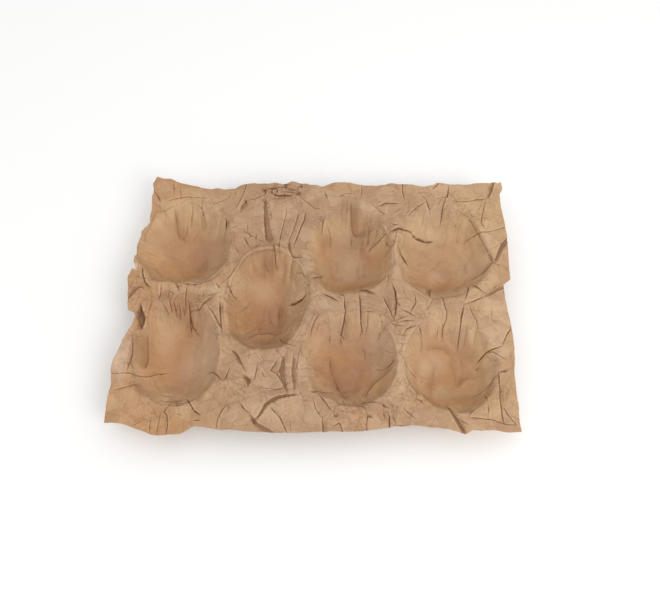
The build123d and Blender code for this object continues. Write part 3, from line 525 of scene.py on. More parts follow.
def facets(points, size, seed):
    # crumpled facets from -1 to 1: random heights on a bent triangular lattice, joined by flat triangles
    bend = np.column_stack([clouds(points, 1.7 * size, seed), clouds(points, 1.9 * size, seed + 1)])
    bent = points + 0.45 * size * bend
    a = bent[:, 0] / size - bent[:, 1] / (size * math.sqrt(3)) + 60
    b = 2 * bent[:, 1] / (size * math.sqrt(3)) + 60
    i, j = np.floor(a).astype(int), np.floor(b).astype(int)
    p, q = a - i, b - j
    table = np.random.default_rng(seed + 2).uniform(-1, 1, (211, 199))
    i, j = i % 210, j % 198
    lower = (1 - p - q) * table[i, j] + p * table[i + 1, j] + q * table[i, j + 1]
    upper = (p + q - 1) * table[i + 1, j + 1] + (1 - q) * table[i + 1, j] + (1 - p) * table[i, j + 1]
    return np.where(p + q < 1, lower, upper)


def cupHalf(cup):
    # a cup's half length and half width in millimetres
    return np.array([cup[2] * sheet["length"], cup[3] * sheet["width"]])


def cupRadius(cup, points):
    # 0 at a cup's middle and 1 at its rim, by a superellipse: (|x/a|^n + |y/b|^n)^(1/n); the bearing; and
    # x/a, y/b
    out = (points - place(cup[:2])) / cupHalf(cup)
    radius = (np.abs(out) ** sheet["squareness"]).sum(axis=1) ** (1 / sheet["squareness"])
    return radius, np.arctan2(out[:, 1], out[:, 0]), out


def landLift(points):
    # height of the land: its lifts along the edge, averaged with weights that fade inward as
    # exp(-distance/reach)
    spots = place([row[:2] for row in edgeShares])
    lifts = np.array([row[2] for row in edgeShares]) * sheet["landHeight"]
    nearness = np.empty((len(points), len(spots)))
    for k, spot in enumerate(spots):
        nearness[:, k] = np.exp(-np.linalg.norm(points - spot, axis=1) / sheet["edgeReach"])
    total = nearness.sum(axis=1)
    edgeLift = nearness @ lifts / np.maximum(total, 1e-9)
    return sheet["landHeight"] + edgeLift * np.clip(total / sheet["edgeWeight"], 0, 1)


def pressedHeight(points):
    # smooth minimum of the land and the cups, -r ln(sum of exp(-height / r)), where a cup rises with the square
    # of the way from its foot to its rim; then how far out of its cup each point is, its bearing there and its
    # cup's painted shade
    total = np.exp(-landLift(points) / sheet["rimRound"])
    # the rims wander, smoothly and in facets
    wander = np.column_stack([clouds(points, 23, 501), clouds(points, 21, 502)])
    wander += 0.9 * np.column_stack([facets(points, 19, 503), facets(points, 19, 506)])
    points = points + sheet["wanderMillimetres"] * wander
    nearest, ways, tone = np.full(len(points), 9.0), np.zeros(len(points)), np.zeros(len(points))
    for number, cup in enumerate(cupShares):
        radius, bearing, out = cupRadius(cup, points)
        climb = np.clip((radius - sheet["footShare"]) / (1 - sheet["footShare"]), 0, None)
        rise = np.where(climb < 1, climb ** 2, 2 * climb - 1)
        # gathers fan out over the far wall only, from a point in front of the cup
        turn = np.arctan2(out[:, 0], out[:, 1] + sheet["fanShare"]) / sheet["gatherRadians"] + 50
        heights = np.random.default_rng(70 + number).uniform(-1, 1, 101)
        wave = np.interp(turn + 0.15 * clouds(points, 12, 240 + number), np.arange(101), heights)
        strong = (0.7 + 0.5 * clouds(points, 34, 200 + number)) * step01((np.sin(bearing) - 0.05) / 0.6)
        spread = step01((radius - 0.5) / 0.35) * step01((1.3 - radius) / 0.25)
        rise = np.minimum(rise, 4) * sheet["landHeight"] + wave * strong * spread * sheet["gatherHeight"]
        total += np.exp(-rise / sheet["rimRound"])
        closer = radius < nearest
        farShade, nearShade = cupShades[number]
        ways = np.where(closer, bearing, ways)
        tone = np.where(closer, np.interp(np.sin(bearing), [-1, 1], [nearShade, farShade]), tone)
        nearest = np.minimum(nearest, radius)
    return np.maximum(-sheet["rimRound"] * np.log(total), 0), nearest, ways, tone


def scatteredRuns():
    # short creases strewn over the land, most where it is crumpled; flutes that run down the cups' far
    # walls; and short arcs that lie along their near walls
    dice = np.random.default_rng(58)
    runs = []
    while len(runs) < scattered["creases"]:
        spot = place([dice.uniform(0, 1), dice.uniform(0, 1)])[None]
        inCup = min(cupRadius(cup, spot)[0][0] for cup in cupShares)
        crumpled = max(strength * bell(spot, shares, reach)[0] for *shares, reach, strength in crumpleSpots)
        if dice.uniform() > 0.12 + 0.25 * (inCup > 0.85) + 0.8 * crumpled:
            continue
        bearing, length = dice.uniform(0, math.pi), dice.uniform(*scattered["length"])
        way = np.array([math.cos(bearing), math.sin(bearing)]) * length / 2
        bow = np.array([-way[1], way[0]]) * dice.uniform(-0.3, 0.3)
        runs.append(("hair", spot[0] + np.array([-way, bow, way])))
    halves = np.array([-0.5, 0, 0.5])
    for cup in cupShares:
        middle, half = place(cup[:2]), cupHalf(cup)
        across = -0.75
        while across < 0.75:
            across += dice.uniform(*scattered["flutes"])
            rim = (1 - abs(across) ** sheet["squareness"]) ** (1 / sheet["squareness"])
            outer, inner = rim * dice.uniform(0.92, 1.15), rim * dice.uniform(0.35, 0.75)
            lean = dice.uniform(-0.04, 0.04)
            flute = [(across, outer), (across * 0.93 + lean, (outer + inner) / 2), (across * 0.85, inner)]
            runs.append(("flute", middle + half * np.array(flute)))
        for _ in range(scattered["arcs"]):
            bearing, turn = dice.uniform(-2.9, -0.3), dice.uniform(0.2, 0.6)
            radius, drift = dice.uniform(0.66, 1.0), dice.uniform(-0.08, 0.08)
            turned = bearing + turn * halves
            arc = (radius + drift * halves) * np.array([np.cos(turned), np.sin(turned)])
            runs.append(("hair", middle + half * arc.T))
    return runs


def foldRuns():
    # every fold with a few fixed random traits: its steep side, where it is widest, and its strength
    dice = np.random.default_rng(21)
    runs = [(sort, place(row)) for sort, rows in foldShares.items() for row in rows] + scatteredRuns()
    return [
        (*run, dice.choice([-1.0, 1.0]), dice.uniform(0.3, 0.7), dice.uniform(0.75, 1.15))
        for run in runs
    ]


def along(points, run):
    # for each point: distance from the run, its side, how far along the nearest place is, the run's length,
    # that place, and the run's direction there
    best = np.full(len(points), np.inf)
    side, travelled = np.zeros(len(points)), np.zeros(len(points))
    foot, way = np.zeros((len(points), 2)), np.zeros((len(points), 2))
    steps = np.diff(run, axis=0)
    lengths = np.linalg.norm(steps, axis=1)
    for start, step, length, before in zip(run, steps, lengths, np.cumsum(lengths) - lengths):
        share = np.clip((points - start) @ step / length ** 2, 0, 1)
        nearest = start + share[:, None] * step
        away = np.linalg.norm(points - nearest, axis=1)
        cross = step[0] * (points[:, 1] - start[1]) - step[1] * (points[:, 0] - start[0])
        closer = away < best
        best = np.where(closer, away, best)
        side = np.where(closer, np.sign(cross), side)
        travelled = np.where(closer, before + share * length, travelled)
        foot[closer], way[closer] = nearest[closer], step / length
    return best, side, travelled, lengths.sum(), foot, way


def foldShape(points):
    # drop of all folds, the largest at each point: a step falls sharply on one side and climbs back gently on
    # the other, a curtain does so softly, a hollow is a smooth trough, and a diamond, a pocket or a fan is an
    # open gap whose width changes along it. For the colour: how far each point is inside the nearest line and
    # gap and on its steep side, in millimetres, how dark their painted shade is, and the painted soft shade of
    # the curtains
    deepest, highest = np.zeros(len(points)), np.zeros(len(points))
    marks = {"lineInside": np.full(len(points), -4.0), "bandInside": np.full(len(points), -4.0)}
    for name in ("lineShade", "bandShade", "lineLight", "steepSide", "softShade"):
        marks[name] = np.zeros(len(points))
    uneven = clouds(points, 5, 77)
    for sort, run, steep, widest, strength in foldRuns():
        depth, half, lineHalf, lineShade, bandShade, lightEdge, profile = foldSorts[sort]
        margin = 1.3 * half + 4
        near = np.all((points > run.min(axis=0) - margin) & (points < run.max(axis=0) + margin), axis=1)
        if not near.any():
            continue
        away, side, travelled, length, _, _ = along(points[near], run)
        ends = np.minimum(travelled, length - travelled)
        fade = np.clip((ends + 1) / min(foldEdges["fadeOut"], 1 + length / 2), 0, 1)
        onSteep = side * steep < 0
        if profile == "hollow":
            shape = step01(1 - away / half)
        elif profile == "step":
            shape = np.clip(1 - away / np.where(onSteep, foldEdges["stepSteep"], half), 0, 1)
        elif profile == "curtain":
            shape = step01(1 - away / np.where(side < 0, foldEdges["curtainSteep"], half))
            # a curtain's painted soft shade, short on its steep side and long on its gentle side
            reach = np.where(side < 0, foldEdges["shadeSteep"], foldEdges["shadeGentle"] * half)
            soft = np.clip(1 - away / reach, 0, 1) ** 1.5
            marks["softShade"][near] = np.maximum(marks["softShade"][near], soft * lineShade * fade)
        else:
            widths = {
                "diamond": 1 - np.abs(travelled / length - widest) / max(widest, 1 - widest),
                "pocket": np.sqrt(np.clip(2.2 * ends / length, 0.02, 1)),
                "fan": 0.25 + 0.75 * travelled / length,
            }
            width = half * strength * widths[profile]
            shape = np.clip(foldEdges["gapWalls"] * (1 - away / np.maximum(width, 0.1)), 0, 1)
        drop = depth * strength * shape * fade
        deepest[near], highest[near] = np.maximum(deepest[near], drop), np.minimum(highest[near], drop)
        if profile == "hollow":
            continue
        # a line of painted shade wavers, and thins out towards its ends; a gap has a thin one along each of its
        # sides
        line = lineHalf * (0.65 + 0.35 * fade) + foldEdges["waver"] * uneven[near] - away
        if profile not in ("step", "curtain"):
            gapSide = width * np.where(onSteep, 1, foldEdges["gapLean"])
            line = foldEdges["gapLine"] - np.abs(away - gapSide)
        closer = line > marks["lineInside"][near]
        index = np.flatnonzero(near)[closer]
        marks["lineInside"][index] = line[closer]
        marks["lineShade"][index] = lineShade * strength * (0.35 + 0.65 * fade[closer])
        marks["lineLight"][index] = lightEdge * fade[closer]
        marks["steepSide"][index] = np.clip(np.where(onSteep, away, -away), -2, 2)[closer]
        if bandShade > 0:
            # a gap's painted shade is darker on its steep side
            into = width * fade - away
            closer = into > marks["bandInside"][near]
            index = np.flatnonzero(near)[closer]
            marks["bandInside"][index] = into[closer]
            towards = np.clip(0.5 - 0.5 * side * steep * away / np.maximum(width, 0.1), 0, 1)
            marks["bandShade"][index] = (bandShade * (0.5 + 0.5 * fade) * (0.55 + 0.6 * towards))[closer]
    return deepest + highest, marks


def crossingShape(points, crumpled):
    # long creases as triangle waves of the distance along each set's direction, 1 - 4 |frac(way / spacing) -
    # 1/2|, each set seen only where its own clouds are thick; and for the colour: the way to the nearest crease,
    # with and without its side, and whether that is a valley (+), painted with shade, or a ridge (-), rubbed
    # paler
    bent = points + np.column_stack([clouds(points, 31, 601), clouds(points, 27, 602)]) * 4.0
    height = np.zeros(len(points))
    marks = {"crossSide": np.full(len(points), 9.0), "crossAway": np.full(len(points), 9.0)}
    marks["crossShadeAndRub"] = np.zeros(len(points))
    for number, (bearing, spacing, rise) in enumerate(crossingSets):
        angle = math.radians(bearing)
        way = (bent @ [math.cos(angle), math.sin(angle)]) / spacing + 0.37 * number
        part = way - np.floor(way)
        seen = step01((clouds(points, 0.5 * spacing + 16, 610 + number) - 0.05) / 0.45)
        if spacing < scattered["fineSpacing"]:
            seen = seen * np.clip(0.25 + crumpled, 0, 1)
        height += rise * (1 - 4 * np.abs(part - 0.5)) * seen
        # a valley lies where way is whole, a ridge halfway between
        for kind, middle in ((1, np.round(way)), (-1, np.floor(way) + 0.5)):
            side = (way - middle) * spacing
            closer = (np.abs(side) < marks["crossAway"]) & (seen > 0.2)
            marks["crossAway"][closer] = np.abs(side)[closer]
            marks["crossSide"][closer] = side[closer]
            marks["crossShadeAndRub"][closer] = (kind * seen)[closer]
    return height, marks


def rimShape(points):
    # thin ridges along the cups' rims: 1 on the rim, falling evenly to 0 beside it, and fading out at an arc's
    # ends; and beside each a groove of painted shade, in the colour alone, which falls to 0 on both its sides
    ridge, groove = np.zeros(len(points)), np.zeros(len(points))
    for number, first, last, strength in rimArcs:
        radius, bearing, _ = cupRadius(cupShares[number], points)
        wobble = 0.012 * clouds(points, 18, 400 + number) + 0.99
        away = np.abs(radius - wobble) * cupHalf(cupShares[number]).mean()
        turned = np.degrees(bearing) - (first + last) / 2
        turned = np.abs((turned + 180) % 360 - 180)
        ends = np.clip(((last - first) / 2 - turned) / sheet["ridgeFadeDegrees"], 0, 1)
        onRidge = np.clip(1 - away / sheet["ridgeHalf"], 0, 1)
        inGroove = np.clip(1 - np.abs(away - sheet["grooveAway"]) / sheet["grooveHalf"], 0, 1)
        ridge = np.maximum(ridge, strength * onRidge * ends)
        groove = np.maximum(groove, strength * inGroove * ends)
    return ridge, groove


def sideCurve(rows, samples):
    # one side of the sheet walked from corner to corner, by whichever is more: the way made along the side,
    # or 0.45 of the way made by the edge itself, so that small tears keep their points
    spots = place([row[:2] for row in rows])
    steps = np.diff(spots, axis=0)
    span = spots[-1] - spots[0]
    span = span / np.linalg.norm(span)
    walk = np.maximum(np.abs(steps @ span), 0.45 * np.linalg.norm(steps, axis=1))
    at = np.concatenate([[0], np.cumsum(walk)]) / walk.sum()
    share = np.linspace(0, 1, samples)
    curve = np.column_stack([np.interp(share, at, spots[:, 0]), np.interp(share, at, spots[:, 1])])
    rough = np.random.default_rng(len(rows)).uniform(-1, 1, samples) * sheet["raggedness"]
    rough[[0, -1]] = 0
    curve += rough[:, None] * [-span[1], span[0]]
    return np.clip(curve, -np.array(sheet["boxHalf"]), sheet["boxHalf"])


def planGrid():
    # a patch between the four sides: flat inside, and following each side's waves near it, faded as (1 -
    # d/reach)^2
    count, rows = sheet["cellsAlong"] + 1, sheet["cellsAcross"] + 1
    corners = [0] + [edgeShares.index(corner) for corner in edgeCorners] + [len(edgeShares)]
    loop = edgeShares + edgeShares[:1]
    far, right, near, left = (loop[a:b + 1] for a, b in zip(corners, corners[1:]))
    far, near = sideCurve(far, count), sideCurve(near, count)[::-1]
    right, left = sideCurve(right, rows)[::-1], sideCurve(left, rows)
    s, t = np.meshgrid(np.linspace(0, 1, count), np.linspace(0, 1, rows))
    s, t = s[..., None], t[..., None]
    base = (1 - t) * ((1 - s) * near[0] + s * near[-1]) + t * ((1 - s) * far[0] + s * far[-1])

    def fade(share, size):
        return np.clip(1 - share * size / sheet["edgeFade"], 0, 1) ** 2

    length, width = sheet["length"], sheet["width"]
    grid = base + fade(t, width) * (near - base[0])[None] + fade(1 - t, width) * (far - base[-1])[None]
    grid += fade(s, length) * (left - base[:, 0])[:, None]
    return grid + fade(1 - s, length) * (right - base[:, -1])[:, None]


def snapToFolds(grid):
    # moves the grid's nearest point onto each fold's line, in every column or row that the line crosses
    points = grid.reshape(-1, 2).copy()
    cell = sheet["length"] / sheet["cellsAlong"]
    inner = np.zeros(grid.shape[:2], bool)
    inner[1:-1, 1:-1] = True
    inner = inner.ravel()
    closest = np.full(len(points), np.inf)
    moved = points.copy()
    for sort, run, *_ in foldRuns():
        if foldSorts[sort][-1] == "hollow":
            continue
        near = np.all((points > run.min(axis=0) - cell) & (points < run.max(axis=0) + cell), axis=1) & inner
        if not near.any():
            continue
        away, _, _, _, foot, way = along(points[near], run)
        allowed = 0.5 * cell * np.abs(way).max(axis=1)
        taken = (away <= allowed) & (away < closest[near])
        index = np.flatnonzero(near)[taken]
        moved[index], closest[index] = foot[taken], away[taken]
    return moved, closest < np.inf


def sheetSurface(points):
    # height = pressed bowls + crumpled facets + soft hollows - folds, never under the flat feet, and rounded
    # off below the highest; then all that the colour needs to know of each point
    height, inCup, bearing, cupShade = pressedHeight(points)
    drop, marks = foldShape(points)
    rimRidge, rimGroove = rimShape(points)
    heaps = [strength * bell(points, spot, reach) for *spot, reach, strength in crumpleSpots]
    crumpled = np.max(heaps, axis=0)
    # the cups' rims are crumpled too, where the noise is high
    onRim = np.exp(-((inCup - 1.04) / 0.08) ** 2) * step01((clouds(points, 16, 350) + 0.2) / 0.6)
    crumpled = np.maximum(crumpled, sheet["rimCrumple"] * onRim)
    crossing, crossMarks = crossingShape(points, crumpled)
    onLand = step01((inCup - 0.72) / 0.3)
    coarse = facets(points, sheet["facetSize"], 300) * sheet["facetHeight"]
    fine = facets(points, sheet["smallFacetSize"], 310) * sheet["smallFacetHeight"]
    calm = np.clip(1 - drop / 1.2, 0.3, 1)
    # in the cups the paper bends softly, with a sharper edge wherever the smooth noise passes through zero
    broad, middle, small = (clouds(points, size, 320 + k) for k, size in enumerate(sheet["hollowSizes"]))
    hollow = 0.5 * broad + np.abs(middle) - 0.35 * np.abs(small)
    hollow *= sheet["hollowHeight"] * step01((inCup - 0.15) / 0.3) * (1 - 0.75 * onLand)
    wide = facets(points, sheet["cupFacetSize"], 340) * sheet["cupFacetHeight"]
    wide *= step01((inCup - 0.1) / 0.3) * (1 - onLand)
    wide *= 1 - bell(points, sheet["smoothSpot"], sheet["smoothReach"])
    crumple = wide + (coarse + fine * (0.3 + 1.3 * crumpled)) * (0.15 + 0.45 * onLand + 1.2 * crumpled)
    crumple += 1.3 * crossing * (0.25 + 0.75 * onLand)
    height = height + 0.8 * rimRidge + crumple * calm + hollow - drop
    foot = 0.25 * (1 + clouds(points, 14, 330))
    height = np.maximum(height, foot) + sheet["thickness"]
    marks.update(crossMarks, rimRidge=rimRidge, rimGroove=rimGroove, inCup=inCup, crumpled=crumpled)
    marks.update(wayAlong=np.cos(bearing), wayAcross=np.sin(bearing))
    marks["cupShade"] = cupShade * step01((1 - inCup) / 0.06)
    for tone, patches in tonePatches.items():
        marks[tone] = np.max([patch[4] * bell(points, patch[:2], patch[2:4]) for patch in patches], axis=0)
    # a cup's near wall hides behind its rim, and its foot is in shade there
    shaded = step01((1 - inCup) / 0.025) * step01((inCup - 0.74) / 0.22)
    marks["nearRim"] = cupShade * shaded * np.clip(-1.3 * np.sin(bearing), 0, 1)
    marks["lengthShare"] = points[:, 0] / sheet["length"] + 0.5
    return -0.5 * np.logaddexp(-height / 0.5, -sheet["highest"] / 0.5), marks


def cellCorners(index):
    # the four corners of each cell of a grid, once around it
    return [corner.ravel() for corner in (index[:-1, :-1], index[:-1, 1:], index[1:, 1:], index[1:, :-1])]


def border(index):
    # the grid's border, once around it
    return np.concatenate([index[0, :-1], index[:-1, -1], index[-1, :0:-1], index[:0:-1, 0]])


def cutCells(index, points, height, snapped):
    # two triangles for each cell of a grid, cut along the diagonal that lies on a fold, or else the one that
    # fits the height of the cell's middle
    a, b, c, d = cellCorners(index)
    middleHeight = sheetSurface(points[[a, b, c, d]].mean(axis=0))[0]
    missAC = np.abs((height[a] + height[c]) / 2 - middleHeight) - 5.0 * (snapped[a] & snapped[c])
    missBD = np.abs((height[b] + height[d]) / 2 - middleHeight) - 5.0 * (snapped[b] & snapped[d])
    cutAC = (missAC <= missBD)[:, None]
    first = np.where(cutAC, np.column_stack([a, b, c]), np.column_stack([a, b, d]))
    second = np.where(cutAC, np.column_stack([a, c, d]), np.column_stack([b, c, d]))
    return np.concatenate([first, second])


def lowestAround(height):
    # the lowest of each point and its eight neighbours
    wide = np.pad(height, 1, mode="edge")
    rows, count = height.shape
    return np.min([wide[i:i + rows, j:j + count] for i in range(3) for j in range(3)], axis=0)


def buildSheet():
    # the upper skin on the snapped grid; the lower skin on every second point, under the lowest point
    # nearby; and the cut edge between them, three triangles for every two steps along the upper skin's
    # border
    grid = planGrid()
    points, snapped = snapToFolds(grid)
    height, marks = sheetSurface(points)
    index = np.arange(len(points)).reshape(grid.shape[:2])
    skin = cutCells(index, points, height, snapped)
    kept = index[::2, ::2].ravel()
    below = np.arange(kept.size).reshape(index[::2, ::2].shape) + len(points)
    under = lowestAround(height[index]).ravel()
    loop, low = border(index), border(below)
    under[loop] = height[loop]
    a, b, c, d = cellCorners(below)
    start, middle, end, lowEnd = loop[::2], loop[1::2], np.roll(loop[::2], -1), np.roll(low, -1)
    edge = [(middle, start, low), (end, middle, lowEnd), (middle, low, lowEnd)]
    faces = np.concatenate([skin] + [np.column_stack(three) for three in [(a, c, b), (a, d, c)] + edge])
    upper = np.column_stack([points, height])
    lower = np.column_stack([points[kept], np.maximum(under[kept] - sheet["thickness"], 0)])
    vertices = np.concatenate([upper, lower]) / 1000
    mesh = bpy.data.meshes.new("kraft_liner")
    mesh.from_pydata(vertices.tolist(), [], faces.tolist())
    for name, values in marks.items():
        # from below a fold stands out, so the painted shade of its line and its gap is faint there, as is that
        # of the curtains and of the near rims
        seenBelow = sheet["seenBelow"] if name in ("lineShade", "bandShade", "softShade", "nearRim") else 1.0
        attribute = mesh.attributes.new(name, "FLOAT", "POINT")
        both = np.concatenate([values, seenBelow * values[kept]])
        attribute.data.foreach_set("value", both.astype(np.float32))
    mesh.validate()
    mesh.shade_smooth()
    mesh.set_sharp_from_angle(angle=math.radians(sheet["sharpDegrees"]))
    piece = bpy.data.objects.new("kraft_liner", mesh)
    bpy.context.scene.collection.objects.link(piece)
    print("sheet", len(vertices), "points", len(faces), "triangles")
    return piece


def toLinear(hexColour):
    # sRGB hex -> linear colour: ((c + 0.055) / 1.055)^2.4 above the dark toe
    parts = [int(hexColour[k:k + 2], 16) / 255 for k in (1, 3, 5)]
    return [c / 12.92 if c <= 0.04045 else ((c + 0.055) / 1.055) ** 2.4 for c in parts] + [1.0]


def addNode(tree, kind, inputs, output=0, **settings):
    # one node with its settings; each input takes a value, or the output of another node; gives one of its
    # outputs
    node = tree.nodes.new("ShaderNode" + kind)
    for name, value in settings.items():
        setattr(node, name, value)
    for name, value in inputs.items():
        if isinstance(value, bpy.types.NodeSocket):
            tree.links.new(value, node.inputs[name])
        else:
            node.inputs[name].default_value = value
    return node.outputs[output] if node.outputs else node


# Kraft paper, machine made from unbleached pulp: warm brown, matt, with fibres that lie along the sheet's
# length, cloudy where the pulp was thicker and paler where a ridge has been rubbed. Painted into the colour are
# shade where a fold, a wrinkle, a crease or a gap shades itself and inside the cups, and light on the cups'
# walls and on lit patches.
kraft = {
    "left": "#bb926a", "middle": "#b19070", "light": "#c4a17a", "cup": "#b07c4e", "wall": "#d8b890",
    "rosy": "#b28a70", "warm": "#bf8d58", "cool": "#bb9d80", "torn": "#e0d0ca", "paleAndPaintedLight": "#d6b795",
    "shade": "#8f6646", "fibreDark": "#9c7352", "fold": "#74492a", "wideFoldShade": "#80593c", "rubbed": "#dcc0a0",
    "roughness": 0.78, "ior": 1.45, "specular": 0.3, "bumpMillimetres": 0.1,
    # noises: size along the sheet and across it in millimetres, detail, roughness. Real fibres are 2 mm by
    # 0.03 mm and the grain 0.1 mm; both are drawn coarser, so that they show
    "noises": {
        "drift": (120, 120, 2, 0.5), "cloud": (16, 16, 4, 0.55), "fibre": (4.5, 0.9, 3, 0.6),
        "grain": (0.7, 0.7, 2, 0.5), "blotch": (22, 22, 1, 0.5), "gaps": (9, 9, 2, 0.5),
        "bend": (14, 14, 2, 0.5),
    },
    # wrinkles: the size of the flat cells between them, and the width of their lines, in millimetres
    "cells": {"wrinkle": 15.0, "smallWrinkle": 6.0}, "wrinkleLine": 0.63,
    # streaks down a cup's wall: how many fit on a radius's turn, and how often they change on the way down
    "streaks": 17.0, "streakChanges": 2.2,
}

# Masks made before the coats. Each is the largest of its products, and a product is a row of factors. A
# factor is a number, or the name of a noise, a mask or an attribute of the mesh, with the two values of it
# that become 0 and 1, or the two numbers that follow them.
masks = {
    # streaks down the walls come and go
    "streak": [[("fan", 0.5, 0.7), ("blotch", 0.4, 0.65)]],
    "wall": [[("inCup", 0.45, 0.85), ("inCup", 1.03, 0.93)]],
    "onLand": [[("inCup", 0.75, 1.05, 0.12, 0.6)]],
    # thin wrinkles, broken up by noise, and the small ones strongest where the paper is crumpled
    "net": [["wrinkleLine", ("gaps", 0.42, 0.62), "onLand"],
            ["smallWrinkleLine", ("gaps", 0.42, 0.62), ("crumpled", 0.1, 0.9, 0.0, 0.8)]],
    # the long crossing creases, thin, and faint in the cups
    "crossLine": [[("crossNear", 0.45, 0.15), ("crossAway", 1.2, 0.8), ("inCup", 0.7, 1.1, 0.1, 1.0)]],
    # the raised edge beside a fold, and a rim's ridge, are rubbed
    "rub": [[("steepSide", 0.5, 0.8), ("lineInside", -1.6, -1.2), "lineLight", ("inCup", 0.7, 1.0, 0.3, 1.0)],
            [("rimRidge", 0.1, 0.8, 0.0, 0.4)]],
}

# The paper's coats of colour over its left end's, from the first to the last: colour, then the factors of
# its cover.
coats = [
    ("middle", ("lengthShare", 0.12, 0.35)), ("light", ("lengthShare", 0.62, 0.9)),
    ("rosy", ("drift", 0.4, 0.65, 0.0, 0.3)),
    # painted shade inside the cups, deepest by the near rims; and the cups' walls painted paler, painted light
    # that lifts their shade
    ("cup", "cupShade", ("cloud", 0.3, 0.6, 0.6, 1.0)), ("wall", 0.65, "wall"),
    ("rosy", 0.8, "rosy"), ("warm", 0.8, "warm"), ("cool", 0.8, "cool"), ("torn", 0.8, "torn"),
    ("paleAndPaintedLight", "paleAndPaintedLight", ("cloud", 0.35, 0.6, 0.5, 1.0)),
    ("fibreDark", ("cloud", 0.35, 0.7, 0.0, 0.35)), ("fibreDark", ("fibre", 0.45, 0.75, 0.0, 0.3)),
    ("rubbed", ("grain", 0.55, 0.8, 0.0, 0.25)),
    ("shade", "shade", ("streak", 0.0, 1.0, 0.7, 1.05)), ("shade", "softShade"),
    ("shade", "nearRim", ("cloud", 0.3, 0.6, 0.6, 0.95)), ("shade", 0.3, "streak", "wall"),
    # each flat cell between wrinkles has its own slight tone, partly a tint and partly painted light and shade,
    # as if each facet caught the light a little differently
    ("rosy", 0.4, ("wrinkleTone", 0.5, 1.0), "onLand"), ("paleAndPaintedLight", 0.4, ("wrinkleTone", 0.45, 0.0), "onLand"),
    # painted shade along the thin wrinkles
    ("wideFoldShade", 0.28, "net"),
    # a crossing crease is rubbed where it is a ridge, and painted with shade where it is a valley
    ("rubbed", "crossLine", ("crossShadeAndRub", 0.0, -1.0, 0.0, 0.24)),
    ("wideFoldShade", "crossLine", ("crossShadeAndRub", 0.0, 1.0, 0.0, 0.34)),
    # painted shade in the grooves beside the rims; the rubbed edges and ridges; and painted shade across the
    # gaps and along the fold lines
    ("wideFoldShade", "rimGroove", ("cloud", 0.35, 0.6, 0.1, 0.6)), ("rubbed", "rub"),
    ("wideFoldShade", ("bandInside", -0.25, 0.35), "bandShade"), ("fold", ("lineInside", -0.15, 0.2), "lineShade"),
]

# What is added up for the bump, in its own distance: rows of factors.
relief = [
    (0.6, "fibre"), (1.2, "cloud"), (0.3, "grain"), (-3.2, "net"), (-1.5, "streak", "wall"),
    (15.0, "wrinkleLean", "onLand"), ("smallWrinkleLean", ("crumpled", 0.0, 0.9, 2.75, 11.0)),
]


def product(tree, sources, factors):
    # the factors multiplied; a name that isn't among the sources yet is an attribute of the mesh
    total = None
    for factor in factors:
        name, *span = factor if isinstance(factor, tuple) else (factor,)
        if isinstance(name, str) and name not in sources:
            sources[name] = addNode(tree, "Attribute", {}, "Fac", attribute_name=name)
        value = sources.get(name, name)
        if span:
            value = addNode(tree, "MapRange", {0: value, **dict(enumerate(span, 1))})
        total = value if total is None else addNode(tree, "Math", {0: total, 1: value}, operation="MULTIPLY")
    return total


def addCells(tree, sources, name, size, spot):
    # flat cells between wrinkles: the line along their borders, each cell's tone, and its lean, the product
    # of a random direction with the way from the cell's middle
    scale = [1000 / size, 1000 / size, 1000 / (3 * size)]
    scaled = addNode(tree, "Mapping", {"Vector": spot, "Scale": scale})
    bend = sources["bend"].node.outputs["Color"]
    bent = addNode(tree, "VectorMath", {0: bend, 1: (0.5, 0.5, 0.5), 2: scaled}, operation="MULTIPLY_ADD")
    away = addNode(tree, "TexVoronoi", {"Vector": bent, "Scale": 1.0}, "Distance", feature="DISTANCE_TO_EDGE")
    line = {0: away, 1: 0.0, 2: kraft["wrinkleLine"] / size, 3: 1.0, 4: 0.0}
    sources[name + "Line"] = addNode(tree, "MapRange", line)
    colour = addNode(tree, "TexVoronoi", {"Vector": bent, "Scale": 1.0}, "Color")
    middle = colour.node.outputs["Position"]
    way = addNode(tree, "VectorMath", {0: colour, 1: (0.5, 0.5, 0.5)}, operation="SUBTRACT")
    arm = addNode(tree, "VectorMath", {0: bent, 1: middle}, operation="SUBTRACT")
    sources[name + "Lean"] = addNode(tree, "VectorMath", {0: way, 1: arm}, "Value", operation="DOT_PRODUCT")
    sources[name + "Tone"] = addNode(tree, "SeparateColor", {"Color": colour}, "Blue")


